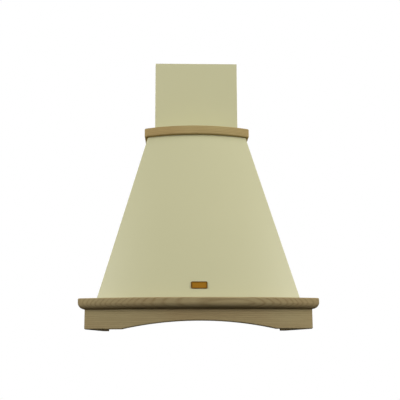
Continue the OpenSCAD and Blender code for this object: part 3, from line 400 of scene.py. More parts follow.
BOARD_HALF, BOARD, BOARD_TOP = 0.284, 0.020, 0.049
FRAME_DEPTH, FRAME_BOW = 0.458, 0.053
OVERHANG, CORNICE = 0.016, 0.058
BASE, NECK, RIM, PLATE_TOP = 0.076, 0.535, 0.559, 0.552
FRAME_R = arc_radius(BOARD_HALF, FRAME_BOW)
FRAME_C = FRAME_R - FRAME_DEPTH - FRAME_BOW
FRAME_TURN = math.asin((BOARD_HALF + OVERHANG) / (FRAME_R + OVERHANG)) + math.radians(3)
print("frame arc", round(FRAME_R, 4), "round y =", round(FRAME_C, 4))


# %% [markdown]
# ## Wood
# The frame and the band are limed oak. On the cornice the growth rings stand almost upright in
# the plank, and the bowed front cuts through them, so the rings show as arches in the middle and
# as slanting lines towards the ends. An image could be wrapped round the board, but rings that
# fill the wood as a solid give that figure by themselves on every face. The front board and the
# band are bent, so there the grain follows the bow, by its distance from the bow's centre. The
# wood is matt: with any gloss, the undersides would mirror the pale floor and lose their dark.

# %% Oak
OAK_LIGHT = srgb(178, 161, 123)
OAK_DARK = srgb(122, 100, 65)


def oak(name, along, ring, tilt, slope=0.0, bow_centre=None,
        light=OAK_LIGHT, dark=OAK_DARK, lines=0.4):
    """Oak with its grain along x or y.

    Its rings are a distance apart, tilted in degrees from level, and climb by a slope."""
    wood = Finish(name, light, 0.55, **{"Specular IOR Level": 0.0})
    x, y, z = wood.axes()
    length, depth = (x, y) if along == "x" else (y, x)
    if bow_centre is not None:
        offset = y - bow_centre
        depth = (x * x + offset * offset) ** 0.5
    wood.place = wood.node("ShaderNodeCombineXYZ", {}, {0: length, 1: depth, 2: z}).outputs[0]
    sway = wood.noise((2.5, 14, 14))
    waver = wood.noise((9, 60, 60))
    tilted = math.radians(tilt)
    across = z * math.cos(tilted) + depth * math.sin(tilted) + length * slope
    phase = (across + sway * 0.020 + waver * 0.0022) / ring
    wave = wood.maths("SINE", phase * (2 * math.pi)) * 0.5 + 0.5
    late = wave ** 3.0 * (0.1 + wood.noise((7, 50, 50), 2.0, 0.6) * 1.7)
    pores = wood.between(wood.noise((45, 1300, 1300), 2.0, 0.6), 0.50, 0.72)
    streaks = wood.noise((6, 260, 260), 3.0, 0.6)
    cloud = wood.between(wood.noise((4, 9, 9)), 0.3, 0.7)
    figure = late * lines + streaks * 0.42 + pores * 0.16 - 0.12
    colour = wood.blend(wood.between(figure, 0.0, 1.0), light, dark)
    wood.give(Base_Color=wood.tinted(colour, cloud, (244, 236, 226), (252, 255, 250)),
              Roughness=0.5 + pores * 0.2 + streaks * 0.1)
    wood.relief(pores, 0.00025, 0.5)
    wood.relief(streaks, 0.0002, 0.4)
    return wood


cornice_oak = oak("oak_cornice", "x", ring=0.0042, tilt=75.5, slope=-0.045, lines=0.3)
front_oak = oak("oak_front_board", "x", ring=0.0050, tilt=24, bow_centre=FRAME_C, lines=0.22)
side_oak = oak("oak_sides", "y", ring=0.0046, tilt=62, lines=0.34)
print("oak", [wood.material.name for wood in (cornice_oak, front_oak, side_oak)])

# %% [markdown]
# ## Painted steel
# The canopy and the chimney are powder-coated in a satin cream. A flat colour would look like
# plastic, so the coat has the faint orange peel of baked powder, a slow drift of tone, and
# roughness that varies a little where it has been wiped.

# %% Cream paint
PAINT = srgb(193, 189, 148)

cream = Finish("cream_powder_coat", PAINT, 0.42)
drift = cream.noise((2.2, 2.2, 2.6), 3.0)
cream.give(Base_Color=cream.blend(drift, srgb(191, 188, 147), srgb(197, 193, 153)))
cream.give(Roughness=0.38 + cream.noise((9, 9, 9), 3.0) * 0.12)
cream.relief(cream.noise((620, 620, 620)), 0.00008, 0.35)

# %% [markdown]
# ## Metals
# Sheet metal is told apart by its surface: galvanised steel has crystals that differ in shade,
# brushed steel and aluminium have fine lines in one direction, and cast metal is grainy. Each is
# one short recipe, used again with another colour, direction or scale.

# %% Metal finishes
def brushed(name, colour, roughness, lines=(12, 900, 900), depth=0.00003):
    """Metal brushed along the axis with the fewest lines to the metre."""
    metal = Finish(name, colour, roughness, Metallic=1.0)
    scratch = metal.noise(lines, 3.0, 0.7)
    wipe = metal.noise((14, 14, 14))
    metal.give(Base_Color=metal.tinted(colour, scratch, (214, 214, 214)),
               Roughness=roughness - 0.08 + scratch * 0.12 + wipe * 0.08)
    metal.relief(scratch, depth, 0.5)
    return metal


def galvanised(name, colour):
    """Zinc-coated sheet with its crystals."""
    metal = Finish(name, colour, 0.4, Metallic=1.0)
    cells = metal.node("ShaderNodeTexVoronoi", {}, {"Vector": metal.place, "Scale": 110})
    split = metal.node("ShaderNodeSeparateColor", {}, {0: cells.outputs["Color"]})
    crystal = Level(metal, split.outputs[0])
    metal.give(Base_Color=metal.tinted(colour, crystal, (224, 226, 229)),
               Roughness=0.36 + crystal * 0.12 + metal.noise((20, 20, 20)) * 0.08)
    metal.relief(metal.noise((300, 300, 300), 3.0), 0.00004, 0.4)
    return metal


def cast(name, colour, roughness=0.55):
    """Die-cast metal with a fine grain."""
    metal = Finish(name, colour, roughness, Metallic=0.9)
    grain = metal.noise((700, 700, 700), 3.0, 0.7)
    tone_level = metal.noise((25, 25, 25), 3.0)
    metal.give(Base_Color=metal.tinted(colour, tone_level, (205, 205, 205)),
               Roughness=roughness - 0.06 + grain * 0.14)
    metal.relief(grain, 0.00015, 0.6)
    return metal


zinc = galvanised("galvanised_sheet", srgb(206, 209, 213))
tray_steel = brushed("brushed_tray", srgb(206, 206, 206), 0.34)
filter_alloy = brushed("extruded_alloy", srgb(216, 218, 221), 0.38, (900, 12, 900))
mesh_alloy = cast("mesh_alloy", srgb(214, 215, 218), 0.38)
chrome = brushed("polished_trim", srgb(232, 233, 236), 0.12, (40, 40, 40), 0.00001)
motor_alloy = cast("cast_alloy", srgb(168, 170, 174))
fin_alloy = cast("fin_alloy", srgb(150, 152, 156), 0.5)
fan_steel = galvanised("fan_steel", srgb(200, 203, 207))
screw_steel = brushed("plated_screws", srgb(218, 219, 222), 0.28, (600, 600, 600))
button_metal = brushed("satin_buttons", srgb(210, 211, 213), 0.3, (900, 30, 900))
print("metal finishes", len([m for m in bpy.data.materials if m.use_nodes]))

# %% [markdown]
# ## Aged brass
# The badge is left bare: a plate of brass that has been brushed and has browned a little.
# Its colour darkens from the edge of its field out over the rim and the outer edges. This is partly
# patina and partly painted shade round the raised plate. The darkening is driven by the distance
# from the plate's middle, worked out from the object coordinates.

# %% Brass
BADGE_Z = 0.107

brass = Finish("aged_brass", srgb(176, 122, 40), 0.35, Metallic=0.85)
bx, _, bz = brass.axes()
# Painted shade and patina: the brass is darker from the edge of the field out over the rim and the
# outer edges.
out_x = brass.between(brass.maths("ABSOLUTE", bx), 0.0150, 0.0192)
out_z = brass.between(brass.maths("ABSOLUTE", bz - BADGE_Z), 0.0045, 0.0080)
tone_level = brass.maths("MAXIMUM", out_x, out_z)
brushing = brass.noise((60, 1500, 1500), 3.0, 0.7)
patina_and_painted_shade = brass.between(tone_level * 0.7 + brass.noise((300, 300, 300), 3.0) * 0.5, 0.25, 1.0)
brass.give(Base_Color=brass.blend(patina_and_painted_shade, srgb(130, 89, 12), srgb(88, 60, 14)),
           Roughness=0.42 + brushing * 0.14 + patina_and_painted_shade * 0.15)
brass.relief(brushing, 0.00002, 0.5)

# %% [markdown]
# ## Plastics, rubber and glass
# Moulded parts have a fine spark-eroded texture that scatters the light. Gloss parts keep a faint
# waviness instead. The lamp lenses are frosted glass with a mirror close behind them. Real glass
# there renders slowly and shows only what the mirror throws back, so the lens is a pale, rough
# coat, half metallic, with a little light passing through.

# %% Plastic finishes
def moulded(name, colour, roughness, grain=1800, depth=0.00006):
    """Moulded plastic with its texture."""
    plastic = Finish(name, colour, roughness)
    spark = plastic.noise((grain, grain, grain))
    flow = plastic.noise((18, 18, 18), 3.0)
    plastic.give(Base_Color=plastic.tinted(colour, flow, (226, 226, 226)),
                 Roughness=roughness - 0.05 + spark * 0.12)
    plastic.relief(spark, depth, 0.6)
    return plastic


black_moulding = moulded("black_moulding", srgb(42, 42, 44), 0.55)
grey_moulding = moulded("grey_moulding", srgb(132, 135, 139), 0.5)
ivory_moulding = moulded("ivory_moulding", srgb(222, 216, 198), 0.42)
black_gloss = moulded("black_gloss", srgb(24, 24, 26), 0.14, 60, 0.00002)
can_white = moulded("capacitor_can", srgb(226, 227, 228), 0.36, 300, 0.00002)
rubber = moulded("black_rubber", srgb(34, 34, 34), 0.8, 900, 0.00012)
pilot_red = moulded("pilot_lens", srgb(196, 44, 30), 0.16, 80, 0.00001)
frosted = moulded("frosted_glass", srgb(236, 237, 234), 0.45, 1200, 0.00008)
frosted.give(Metallic=0.5, Transmission_Weight=0.1)


# %% [markdown]
# ## Putting a piece on the model
# A finished piece gets its material, rides on a CAD body so that it moves with it, and stands for
# the CAD nodes that it replaces.

# %% Dressing
def dress(piece, finish, nodes, body="hood"):
    """Gives a modelled piece its finish, its body and the nodes that it stands for."""
    rest()
    piece.data.materials.clear()
    piece.data.materials.append(finish.material)
    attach(piece, body)
    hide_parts(*nodes)
    triangles = sum(len(p.vertices) - 2 for p in piece.data.polygons)
    print(piece.name, triangles, "triangles on", body)


def coat(finish, *nodes):
    """Gives CAD nodes that stay as they are a better material."""
    for node in nodes:
        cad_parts[node].material_slots[0].material = finish.material


# %% [markdown]
# ## The wooden frame
# The front board is bent and its lower edge is sawn to an arch. Its section is walked round the
# bow from right to left, both ends are cut at the mitre, and the lower vertices are lifted onto
# the arch. A Boolean cut would do too, but it leaves slivers where it crosses the steps of the
# bow, and those spoil the rounded edge.

# %% Mitres and the front board
ARCH_HALF, ARCH_RISE = 0.190, 0.020
ARCH_R = arc_radius(ARCH_HALF, ARCH_RISE)
BOW_STEPS = 96
ROUTED, EASED = 0.0032, 0.0006


def frame_corner(offset):
    """Right front corner of the frame's outline, moved out by an offset."""
    x = BOARD_HALF + offset
    return Vector((x, arc_depth(FRAME_R + offset, FRAME_C, x), 0))


def mitre(inner, outer, side, keep_front):
    """Cuts the piece in edit mode along the mitre on one side (1 right, -1 left)."""
    along = (outer - inner).normalized()
    normal = Vector((-along.y * side, along.x, 0))
    place = Vector((inner.x * side, inner.y, 0))
    slice_all(place, normal, use_fill=True, clear_outer=keep_front, clear_inner=not keep_front)


def mitre_front(piece, inner, outer):
    edit(piece)
    for side in (1, -1):
        mitre(inner, outer, side, True)


def lift_to_arch(board):
    """Lifts the lower edge onto the arch, one column of vertices at a time."""
    edit(board)
    lower = [v.co.x for v in bmesh.from_edit_mesh(board.data).verts if near(v.co.z, 0)]
    for x in sorted({round(x, 6) for x in lower if abs(x) < ARCH_HALF - 1e-4}):
        pick(board, "VERT", lambda v, n: near(v.z, 0) and near(v.x, x, 2e-6))
        height = -arc_depth(ARCH_R, ARCH_R - ARCH_RISE, x)
        bpy.ops.transform.translate(value=(0, 0, height))
    rest()


def finish_board(board, finish, node, outer_edge):
    """Rounds the board's lower outer edges, as a router would, and eases the others."""
    face_out(board)
    edit(board)
    pick(board, "EDGE", outer_edge)
    bevel(ROUTED, 4)
    ease(board, EASED)
    smooth(board)
    dress(board, finish, [node])


front_board = section("front_board", FRAME_R - BOARD, FRAME_R, 0, BOARD_TOP, FRAME_TURN, FRAME_C)
edit(front_board)
turn((0, FRAME_C), 2 * FRAME_TURN, BOW_STEPS)
mitre_front(front_board, frame_corner(-BOARD), frame_corner(0))
for kink in (ARCH_HALF, -ARCH_HALF):
    slice_all((kink, 0, 0), (1, 0, 0))
lift_to_arch(front_board)
finish_board(front_board, front_oak, "front_fascia", lambda m, d: abs(d.x) > 0.5
             and m.z < ARCH_RISE + 0.001 and math.hypot(m.x, m.y - FRAME_C) > FRAME_R - 0.002)

# %% [markdown]
# The side boards are straight, so each is a block cut at the mitre. The cornice is a length of
# moulding with a round lower edge: its section is a rectangle whose lower outer corner is
# rounded by 16 mm and whose upper one is eased by 3 mm, and it is walked round the front and
# along both sides.

# %% Side boards
SIDES = ((1, "r", "right"), (-1, "l", "left"))

for side, letter, word in SIDES:
    board = block("side_board_" + letter, (BOARD_HALF - BOARD, -FRAME_DEPTH - FRAME_BOW, 0),
                  (BOARD_HALF, 0, BOARD_TOP))
    to_side(board, side)
    edit(board)
    mitre(frame_corner(-BOARD), frame_corner(0), side, False)
    finish_board(board, side_oak, "side_board_" + word, lambda m, d: abs(d.y) > 0.5
                 and near(m.z, 0) and near(abs(m.x), BOARD_HALF))

# %% Cornice
def moulding(name, inner, outer, low, high, corners, angle=math.pi / 2, centre=0.0):
    """A section with its outer corners rounded (height, radius, steps), ready to be walked."""
    made = section(name, inner, outer, low, high, angle, centre)
    edit(made)
    for height, radius, steps in corners:
        pick(made, "VERT", lambda v, n: near(v.z, height, 1e-4)
             and math.hypot(v.x, v.y - centre) > (inner + outer) / 2)
        bevel(radius, steps, "VERTICES")
    pick(made, "FACE", lambda m, n: True)
    return made


def finish_cornice(piece, finish, node):
    face_out(piece)
    ease(piece, EASED)
    smooth(piece, 25)
    dress(piece, finish, [node])


CORNICE_ROUND = ((BOARD_TOP, 0.016, 10), (BASE, 0.003, 4))
cornice_in, cornice_out = OVERHANG - CORNICE, OVERHANG
cornice = moulding("cornice_bow", FRAME_R + cornice_in, FRAME_R + cornice_out, BOARD_TOP, BASE,
                   CORNICE_ROUND, FRAME_TURN, FRAME_C)
turn((0, FRAME_C), 2 * FRAME_TURN, BOW_STEPS)
mitre_front(cornice, frame_corner(cornice_in), frame_corner(cornice_out))
finish_cornice(cornice, cornice_oak, "cornice_front")

for side, letter, word in SIDES:
    cornice = moulding("cornice_" + letter, BOARD_HALF + cornice_in, BOARD_HALF + cornice_out,
                       BOARD_TOP, BASE, CORNICE_ROUND)
    go(0, -FRAME_DEPTH - FRAME_BOW, 0)
    rest()
    to_side(cornice, side)
    edit(cornice)
    mitre(frame_corner(cornice_in), frame_corner(cornice_out), side, False)
    finish_cornice(cornice, side_oak, "cornice_" + word)

# %% [markdown]
# ## The band
# A thin strip of oak is steamed and bent round the canopy's neck. Its section, with eased edges,
# is walked straight out from the wall, round a tight corner, round the bow of the front, round
# the other corner and back, so the strip is one piece as the real one is. It is paler than the
# cornice, and its grain follows the bend.

# %% Outlines with a bowed front
CORNER_STEPS, FRONT_STEPS = 6, 56


class Outline:
    """Half width, corner centre and front arc of an outline that bows out at the front."""

    def __init__(self, half, depth, bow, corner, offset=0.0):
        radius = arc_radius(half, bow)
        self.half = half + offset
        self.centre = radius - depth
        corner_x = self.half - corner
        reach = radius + offset - corner
        self.corner = (corner_x, arc_depth(reach, self.centre, corner_x))
        self.turn = math.asin(corner_x / reach)

    def walk(self, start, end):
        """Takes the selection from y = start on the right side round to y = end on the left."""
        x, y = self.corner
        go(0, y - start, 0)
        turn((x, y), math.pi / 2 - self.turn, CORNER_STEPS)
        turn((0, self.centre), 2 * self.turn, FRONT_STEPS)
        turn((-x, y), math.pi / 2 - self.turn, CORNER_STEPS)
        go(0, end - y, 0)


NECK_HALF, NECK_DEPTH, NECK_BOW = 0.138, 0.334, 0.032
GAP, BAND, BAND_CORNER = 0.0003, 0.009, 0.010
BAND_ROUND = ((NECK, 0.004, 6), (RIM, 0.0016, 3))

band_oak = oak("oak_band", "x", ring=0.0040, tilt=30,
               bow_centre=arc_radius(NECK_HALF, NECK_BOW) - NECK_DEPTH,
               light=srgb(191, 171, 123), dark=srgb(143, 121, 78))
band = moulding("bent_band", NECK_HALF + GAP, NECK_HALF + GAP + BAND, NECK, RIM, BAND_ROUND)
Outline(NECK_HALF, NECK_DEPTH, NECK_BOW, BAND_CORNER, GAP + BAND).walk(0, 0)
face_out(band)
smooth(band, 32)
dress(band, band_oak, ["band_front", "band_left", "band_right"])

# %% [markdown]
# ## The canopy
# The canopy is a sheet of steel that runs from a wide bowed foot to a narrow bowed neck. A cone
# or a scaled box would get the bow wrong at one end, so two strips are walked round the two
# outlines with the same number of steps, and bridged. The sheet is folded in along its foot and
# its back, then thickened inwards.

# %% Canopy sheet
FOOT_HALF, FOOT_DEPTH, FOOT_BOW = 0.256, 0.494, 0.048
SHEET, FOLD, FLANGE, LIP = 0.001, 0.003, 0.014, 0.0012
STRIP_START = 0.004


def strip(outline, low, high):
    """An upright strip round an outline, from the back panel's face and to it again."""
    rest()
    bpy.ops.mesh.primitive_plane_add(
        size=1, location=(outline.half, -SHEET - STRIP_START / 2, (low + high) / 2),
        rotation=(math.pi / 2, 0, math.pi / 2))
    made = keep_place("strip", (STRIP_START, high - low, 1))
    edit(made)
    pick(made, "EDGE", lambda m, d: near(m.y, -SHEET - STRIP_START))
    outline.walk(-SHEET - STRIP_START, -SHEET)
    rest()
    return made


def fold_back(piece, y, width):
    """Folds the two upright rear edges of an open sheet inwards, along the wall."""
    edit(piece)
    for side in (1, -1):
        pick(piece, "EDGE", lambda m, d: abs(d.z) > 0.5 and near(m.y, y) and m.x * side > 0)
        go(-side * width, 0, 0)


def flange_in(piece, test, half, depth, centre):
    """Folds the picked edges of an outline inwards, towards a centre."""
    edit(piece)
    pick(piece, "EDGE", test)
    bpy.ops.mesh.extrude_region_move()
    bpy.ops.transform.resize(value=((half - FLANGE) / half, (depth - FLANGE) / depth, 1),
                             center_override=centre)


def thicken(sheet):
    """Turns an open sheet outwards, by its foremost face, and gives it its thickness inwards."""
    face_out(sheet)
    front = min(sheet.data.polygons, key=lambda p: p.center.y)
    if front.normal.y > 0:
        edit(sheet)
        bpy.ops.mesh.flip_normals()
        rest()
    modify(sheet, "SOLIDIFY", thickness=SHEET, offset=-1.0)


foot = Outline(FOOT_HALF, FOOT_DEPTH, FOOT_BOW, FOLD)
neck = Outline(NECK_HALF, NECK_DEPTH, NECK_BOW, FOLD)
canopy = join("canopy_sheet", [strip(neck, NECK, RIM), strip(foot, BASE, BASE + LIP)])
edit(canopy)
pick(canopy, "EDGE", lambda m, d: near(d.z, 0) and (near(m.z, BASE + LIP) or near(m.z, NECK)))
bpy.ops.mesh.bridge_edge_loops(number_cuts=12, interpolation="LINEAR")
flange_in(canopy, lambda m, d: near(m.z, BASE), FOOT_HALF, FOOT_DEPTH, (0, -SHEET, BASE))
fold_back(canopy, -SHEET, FLANGE)
thicken(canopy)
smooth(canopy, 13)
dress(canopy, cream, ["canopy_shell"])

# %% [markdown]
# ## The chimney
# Two folded covers make the chimney, and the inner one slides up out of the outer one to meet
# the ceiling. Each is a box with its top, bottom and back taken off, two flanges folded in along
# the wall, bent edges with a small radius, and then a sheet's thickness. The inner cover has two
# rows of air slots, cut by one rounded bar that is repeated with an Array modifier.

# %% Chimney covers
COVER_HALF, COVER_FRONT, COVER_TOP = 0.120, 0.247, 0.776
RETURN, COVER_FOLD = 0.015, 0.0018


def cover(name, half, front, back, low, high):
    """An open sheet: front, two sides and two flanges along the wall."""
    sheet = block(name, (-half, -front, low), (half, -back, high))
    edit(sheet)
    pick(sheet, "FACE", lambda m, n: abs(n.z) > 0.5 or n.y > 0.5)
    bpy.ops.mesh.delete(type="FACE")
    fold_back(sheet, -back, RETURN)
    pick(sheet, "EDGE", lambda m, d: abs(d.z) > 0.5 and near(abs(m.x), half))
    bevel(COVER_FOLD, 4)
    return sheet


outer_cover = cover("chimney_cover", COVER_HALF, COVER_FRONT, 0, PLATE_TOP, COVER_TOP)
flange_in(outer_cover, lambda m, d: near(m.z, PLATE_TOP) and m.y < -0.003,
          COVER_HALF, COVER_FRONT, (0, 0, PLATE_TOP))
thicken(outer_cover)
smooth(outer_cover, 30)
dress(outer_cover, cream, ["chimney_lower"])

inner_low, inner_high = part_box("chimney_upper")
inner_cover = cover("sliding_cover", inner_high.x, -inner_low.y, -inner_high.y,
                    inner_low.z, inner_high.z)
thicken(inner_cover)

SLOTS, SLOT_LONG, SLOT_WIDE, SLOT_PITCH = 6, 0.070, 0.004, 0.0088
slot_middle = Vector((0, -COVER_FRONT / 2, inner_high.z - 1.5 * SLOT_PITCH))
slot_reach = Vector((0.2, SLOT_LONG / 2, SLOT_WIDE / 2))
slot_bar = block("slot_bar", slot_middle - slot_reach, slot_middle + slot_reach)
edit(slot_bar)
pick(slot_bar, "EDGE", lambda m, d: abs(d.x) > 0.5)
bevel(SLOT_WIDE * 0.49, 5)
repeat(slot_bar, SLOTS, (0, 0, -SLOT_PITCH))
cut(inner_cover, slot_bar)
smooth(inner_cover, 30)
dress(inner_cover, cream, ["chimney_upper"], "chimney_slider")

# %% [markdown]
# ## The badge
# The plate on the canopy is bare. It is a thin block with rounded corners, a field sunk below a
# raised rim, and eased edges, turned to lie on the leaning front.

# %% Bare badge
BADGE_LONG, BADGE_WIDE, BADGE_THICK = 0.041, 0.019, 0.0016
BADGE_CORNER, BADGE_RIM, BADGE_SUNK = 0.0034, 0.0012, 0.0006

lean = math.atan((FOOT_DEPTH - NECK_DEPTH) / (NECK - BASE))
badge = block("bare_badge", (-BADGE_LONG / 2, -BADGE_WIDE / 2, GAP),
              (BADGE_LONG / 2, BADGE_WIDE / 2, GAP + BADGE_THICK))
edit(badge)
pick(badge, "EDGE", lambda m, d: abs(d.z) > 0.5)
bevel(BADGE_CORNER, 8)
pick(badge, "FACE", lambda m, n: n.z > 0.5)
bpy.ops.mesh.inset(thickness=BADGE_RIM)
go(0, 0, -BADGE_SUNK)
ease(badge, 0.00022)
smooth(badge)
rise = BADGE_Z - BASE
badge.data.transform(Matrix.Translation((0, -FOOT_DEPTH + rise * math.tan(lean), BADGE_Z))
                     @ Matrix.Rotation(math.pi / 2 - lean, 4, "X"))
dress(badge, brass, ["badge_plate"])

# %% [markdown]
# ## The grease filters
# A grease filter is a stack of expanded aluminium: a sheet that is slit and pulled apart into
# diamonds, in layers laid crosswise. The pattern could be painted as see-through patches, but
# real strands catch the light and hide what is behind them at an angle. So a quarter of one
# diamond is modelled, mirrored twice and repeated with two Array modifiers, and three such
# sheets fill the frame.

# %% Expanded mesh
MESH_LONG, MESH_WIDE = 0.0165, 0.0102
STRAND, KNUCKLE, MESH_THICK, MESH_TILT = 0.0012, 0.0032, 0.0007, 0.0005


def expanded_sheet(width, depth):
    """A sheet of expanded metal round the origin, at least this large."""
    quarter = block("expanded_sheet", (0, 0, 0), (KNUCKLE / 2, STRAND, MESH_THICK))
    edit(quarter)
    pick(quarter, "FACE", lambda m, n: n.x > 0.5)
    go((MESH_LONG - 2 * KNUCKLE) / 2, MESH_WIDE / 2 - STRAND, MESH_TILT)
    go(KNUCKLE / 2, 0, 0)
    pick(quarter, "FACE", lambda m, n: near(m.x, 0) or near(m.x, MESH_LONG / 2)
         or (abs(n.y) > 0.5 and (near(m.y, 0) or near(m.y, MESH_WIDE / 2))))
    bpy.ops.mesh.delete(type="FACE")
    modify(quarter, "MIRROR", use_axis=(True, True, False), use_clip=True)
    for pitch, size, axis in ((MESH_LONG, width, 0), (MESH_WIDE, depth, 1)):
        count = math.ceil(size / pitch) + 1
        offset = [pitch if i == axis else 0 for i in range(3)]
        repeat(quarter, count, offset, use_merge_vertices=True, merge_threshold=0.00005)
        quarter.data.transform(Matrix.Translation([-(count - 1) * v / 2 for v in offset]))
    return quarter


def trim(piece, low, high):
    """Cuts a piece off square at the sides of a box, and closes each cut strand by itself."""
    edit(piece)
    for axis in (0, 1):
        normal = [float(i == axis) for i in range(3)]
        for corner, side in ((low, -1), (high, 1)):
            slice_all(corner, [side * n for n in normal], clear_outer=True)
    bpy.ops.mesh.select_mode(type="EDGE")
    bpy.ops.mesh.select_non_manifold(extend=False)
    bpy.ops.mesh.fill_holes(sides=0)
    rest()


low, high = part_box("filter_mesh_right")
size, middle = high - low, (low + high) / 2
along = expanded_sheet(size.x + MESH_LONG, size.y + MESH_WIDE)
across = expanded_sheet(size.y + MESH_LONG, size.x + MESH_WIDE)
LAYERS = [  # sheet, turn about z, shift
    (along, 0, (0, 0, 0.0001)),
    (across, math.pi / 2, (0.002, 0.001, 0.0007)),
    (along, 0, (0.0035, 0.002, 0.0013)),
]
for side, letter, word in SIDES:
    layers = []
    for sheet, angle, shift in LAYERS:
        place = Matrix.Translation(Vector((middle.x, middle.y, low.z)) + Vector(shift))
        layers.append(copy_of(sheet, "layer", place @ Matrix.Rotation(angle, 4, "Z")))
    mesh = join("filter_layers_" + letter, layers)
    trim(mesh, low, high)
    to_side(mesh, side)
    face_out(mesh)
    dress(mesh, mesh_alloy, ["filter_mesh_" + word], "filter_" + word)
for spare in (along, across):
    bpy.data.objects.remove(spare)

# %% [markdown]
# ## Lamps and buttons
# The lamp lenses are pressed with rings that spread the light. A disc is inset again and again,
# and its rings are pushed in and out in turn. The buttons are caps with a dished face in a
# collar, and raised dots tell them apart by touch: none for stop, one to three for the speeds,
# and a ring for the lamps.

# %% Lamp lenses
lens_low, lens_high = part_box("lamp_lenses")
LAMP_Y = (lens_low.y + lens_high.y) / 2
LENS_R = (lens_high.y - lens_low.y) / 2
LAMP_X = lens_high.x - LENS_R
LENS_RINGS, LENS_RING, LENS_STEP = 9, 0.0012, 0.0003
lenses = []
for side in (1, -1):
    lens = disc("lens", LENS_R, lens_low.z, lens_high.z, LAMP_X * side, LAMP_Y, 64)
    edit(lens)
    pick(lens, "FACE", lambda m, n: n.z < -0.5)
    for ring in range(LENS_RINGS):
        bpy.ops.mesh.inset(thickness=LENS_RING)
        bpy.ops.mesh.inset(thickness=LENS_RING, depth=-LENS_STEP if ring % 2 else LENS_STEP)
    lenses.append(lens)
lenses = join("lamp_lens_pair", lenses)
smooth(lenses, 50)
dress(lenses, frosted, ["lamp_lenses"])

# %% Push buttons
COLLAR, COLLAR_LOW, COLLAR_HIGH, BUTTON_EASED = 0.0015, 0.0483, 0.0498, 0.0003
FACE_RIM, DISH_STEP, DISH = 0.0009, 0.0014, (0.00015, 0.0003, 0.0002)
DOT, DOT_PITCH, RING, RING_THICK, MARK_RISE = 0.0008, 0.0026, 0.0022, 0.0005, 0.0006


def marks(mark, x, y, z):
    """Raised marks round a place: a number of dots in a row, or a ring."""
    if mark == "ring":
        rest()
        bpy.ops.mesh.primitive_torus_add(major_radius=RING, minor_radius=RING_THICK,
                                         major_segments=32, minor_segments=8, location=(x, y, z))
        return [keep_place("ring")]
    made = []
    for i in range(mark):
        rest()
        bpy.ops.mesh.primitive_uv_sphere_add(segments=16, ring_count=8, radius=DOT,
                                             location=(x + (i - (mark - 1) / 2) * DOT_PITCH, y, z))
        made.append(keep_place("dot"))
    return made


def push_button(word, mark):
    """A cap with a dished face, its collar, and its marks."""
    low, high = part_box("button_" + word)
    x, y = (low.x + high.x) / 2, (low.y + high.y) / 2
    collar_r = (high.x - low.x) / 2
    cap = disc("cap", collar_r - COLLAR, low.z, high.z, x, y)
    edit(cap)
    pick(cap, "FACE", lambda m, n: n.z < -0.5)
    bpy.ops.mesh.inset(thickness=FACE_RIM)
    for depth in DISH:
        bpy.ops.mesh.inset(thickness=DISH_STEP, depth=-depth)
    ease(cap, BUTTON_EASED, 60)
    collar = disc("collar", collar_r, COLLAR_LOW, COLLAR_HIGH, x, y)
    ease(collar, BUTTON_EASED, 60)
    button = join("push_" + word, [cap, collar, *marks(mark, x, y, low.z + MARK_RISE)])
    smooth(button)
    dress(button, button_metal, ["button_" + word], word + "_button")


for word, mark in (("stop", 0), ("slow", 1), ("medium", 2), ("fast", 3), ("lamps", "ring")):
    push_button(word, mark)

# %% [markdown]
# ## Screws
# The screws that can be seen have a domed head with a cross. One screw is modelled, its cross cut
# by two crossed blocks, and it is copied to every place.

# %% Screw heads
def screw(radius, head, head_height, length):
    """A screw at the origin with its head downwards."""
    made = disc("screw", head, -head_height, 0, sides=28)
    edit(made)
    pick(made, "EDGE", lambda m, d: near(m.z, -head_height) and abs(d.z) < 0.1)
    bevel(0.42 * head_height, 3)
    reach, half = 0.55 * head, 0.11 * head
    for x, y in ((reach, half), (half, reach)):
        cut(made, block("slot", (-x, -y, -2 * head_height), (x, y, -0.45 * head_height)))
    shank = disc("shank", radius, -0.3 * head_height, length, sides=20)
    made = join("screw", [made, shank])
    smooth(made)
    return made


def screw_set(name, model, node, rows):
    """Copies of a screw as one piece. A row has its points, its height and its turn about x."""
    made = join(name, [copy_of(model, "one_screw", Matrix.Translation((x, y, z))
                               @ Matrix.Rotation(angle, 4, "X"))
                       for points, z, angle in rows for x, y in points])
    bpy.data.objects.remove(model)
    dress(made, screw_steel, [node])


def both_sides(x, *places):
    return [(side * x, y) for side in (1, -1) for y in places]


UP, DOWN = 0, math.pi
TRAY, TRAY_SCREWS = 0.048, both_sides(0.2545, -0.09, -0.23, -0.37)
FOOT_SCREWS = both_sides(0.249, -0.05, -0.18, -0.31) + both_sides(0.06, -0.484)
COVER_SCREWS = both_sides(COVER_HALF - SHEET - FLANGE / 2, -0.25 * COVER_FRONT, -0.8 * COVER_FRONT)
FRONT_SCREW_R = FRAME_R - BOARD - 0.011
FRONT_SCREWS = [(FRONT_SCREW_R * math.sin(angle), FRAME_C - FRONT_SCREW_R * math.cos(angle))
                for angle in map(math.radians, (-9, 0, 9))]

screw_set("frame_screw_set", screw(0.002, 0.004, 0.0025, 0.013), "frame_screws", [
    (TRAY_SCREWS, TRAY, UP), (FOOT_SCREWS, BASE + SHEET, DOWN), (FRONT_SCREWS, TRAY, UP)])
screw_set("chimney_screw_set", screw(0.002, 0.0032, 0.002, 0.007), "chimney_screws",
          [(COVER_SCREWS, PLATE_TOP + SHEET, DOWN)])

# %% [markdown]
# ## Pieces that keep their CAD shape
# The blower, the lamps' heat sinks and the electrical parts already have the right shape, but
# their triangles are loose and flat. Each is copied, its triangles are merged, its round faces
# are smoothed by their angle, and plain boxes get an eased edge. The flat sheets stay as they
# are and get a finish.

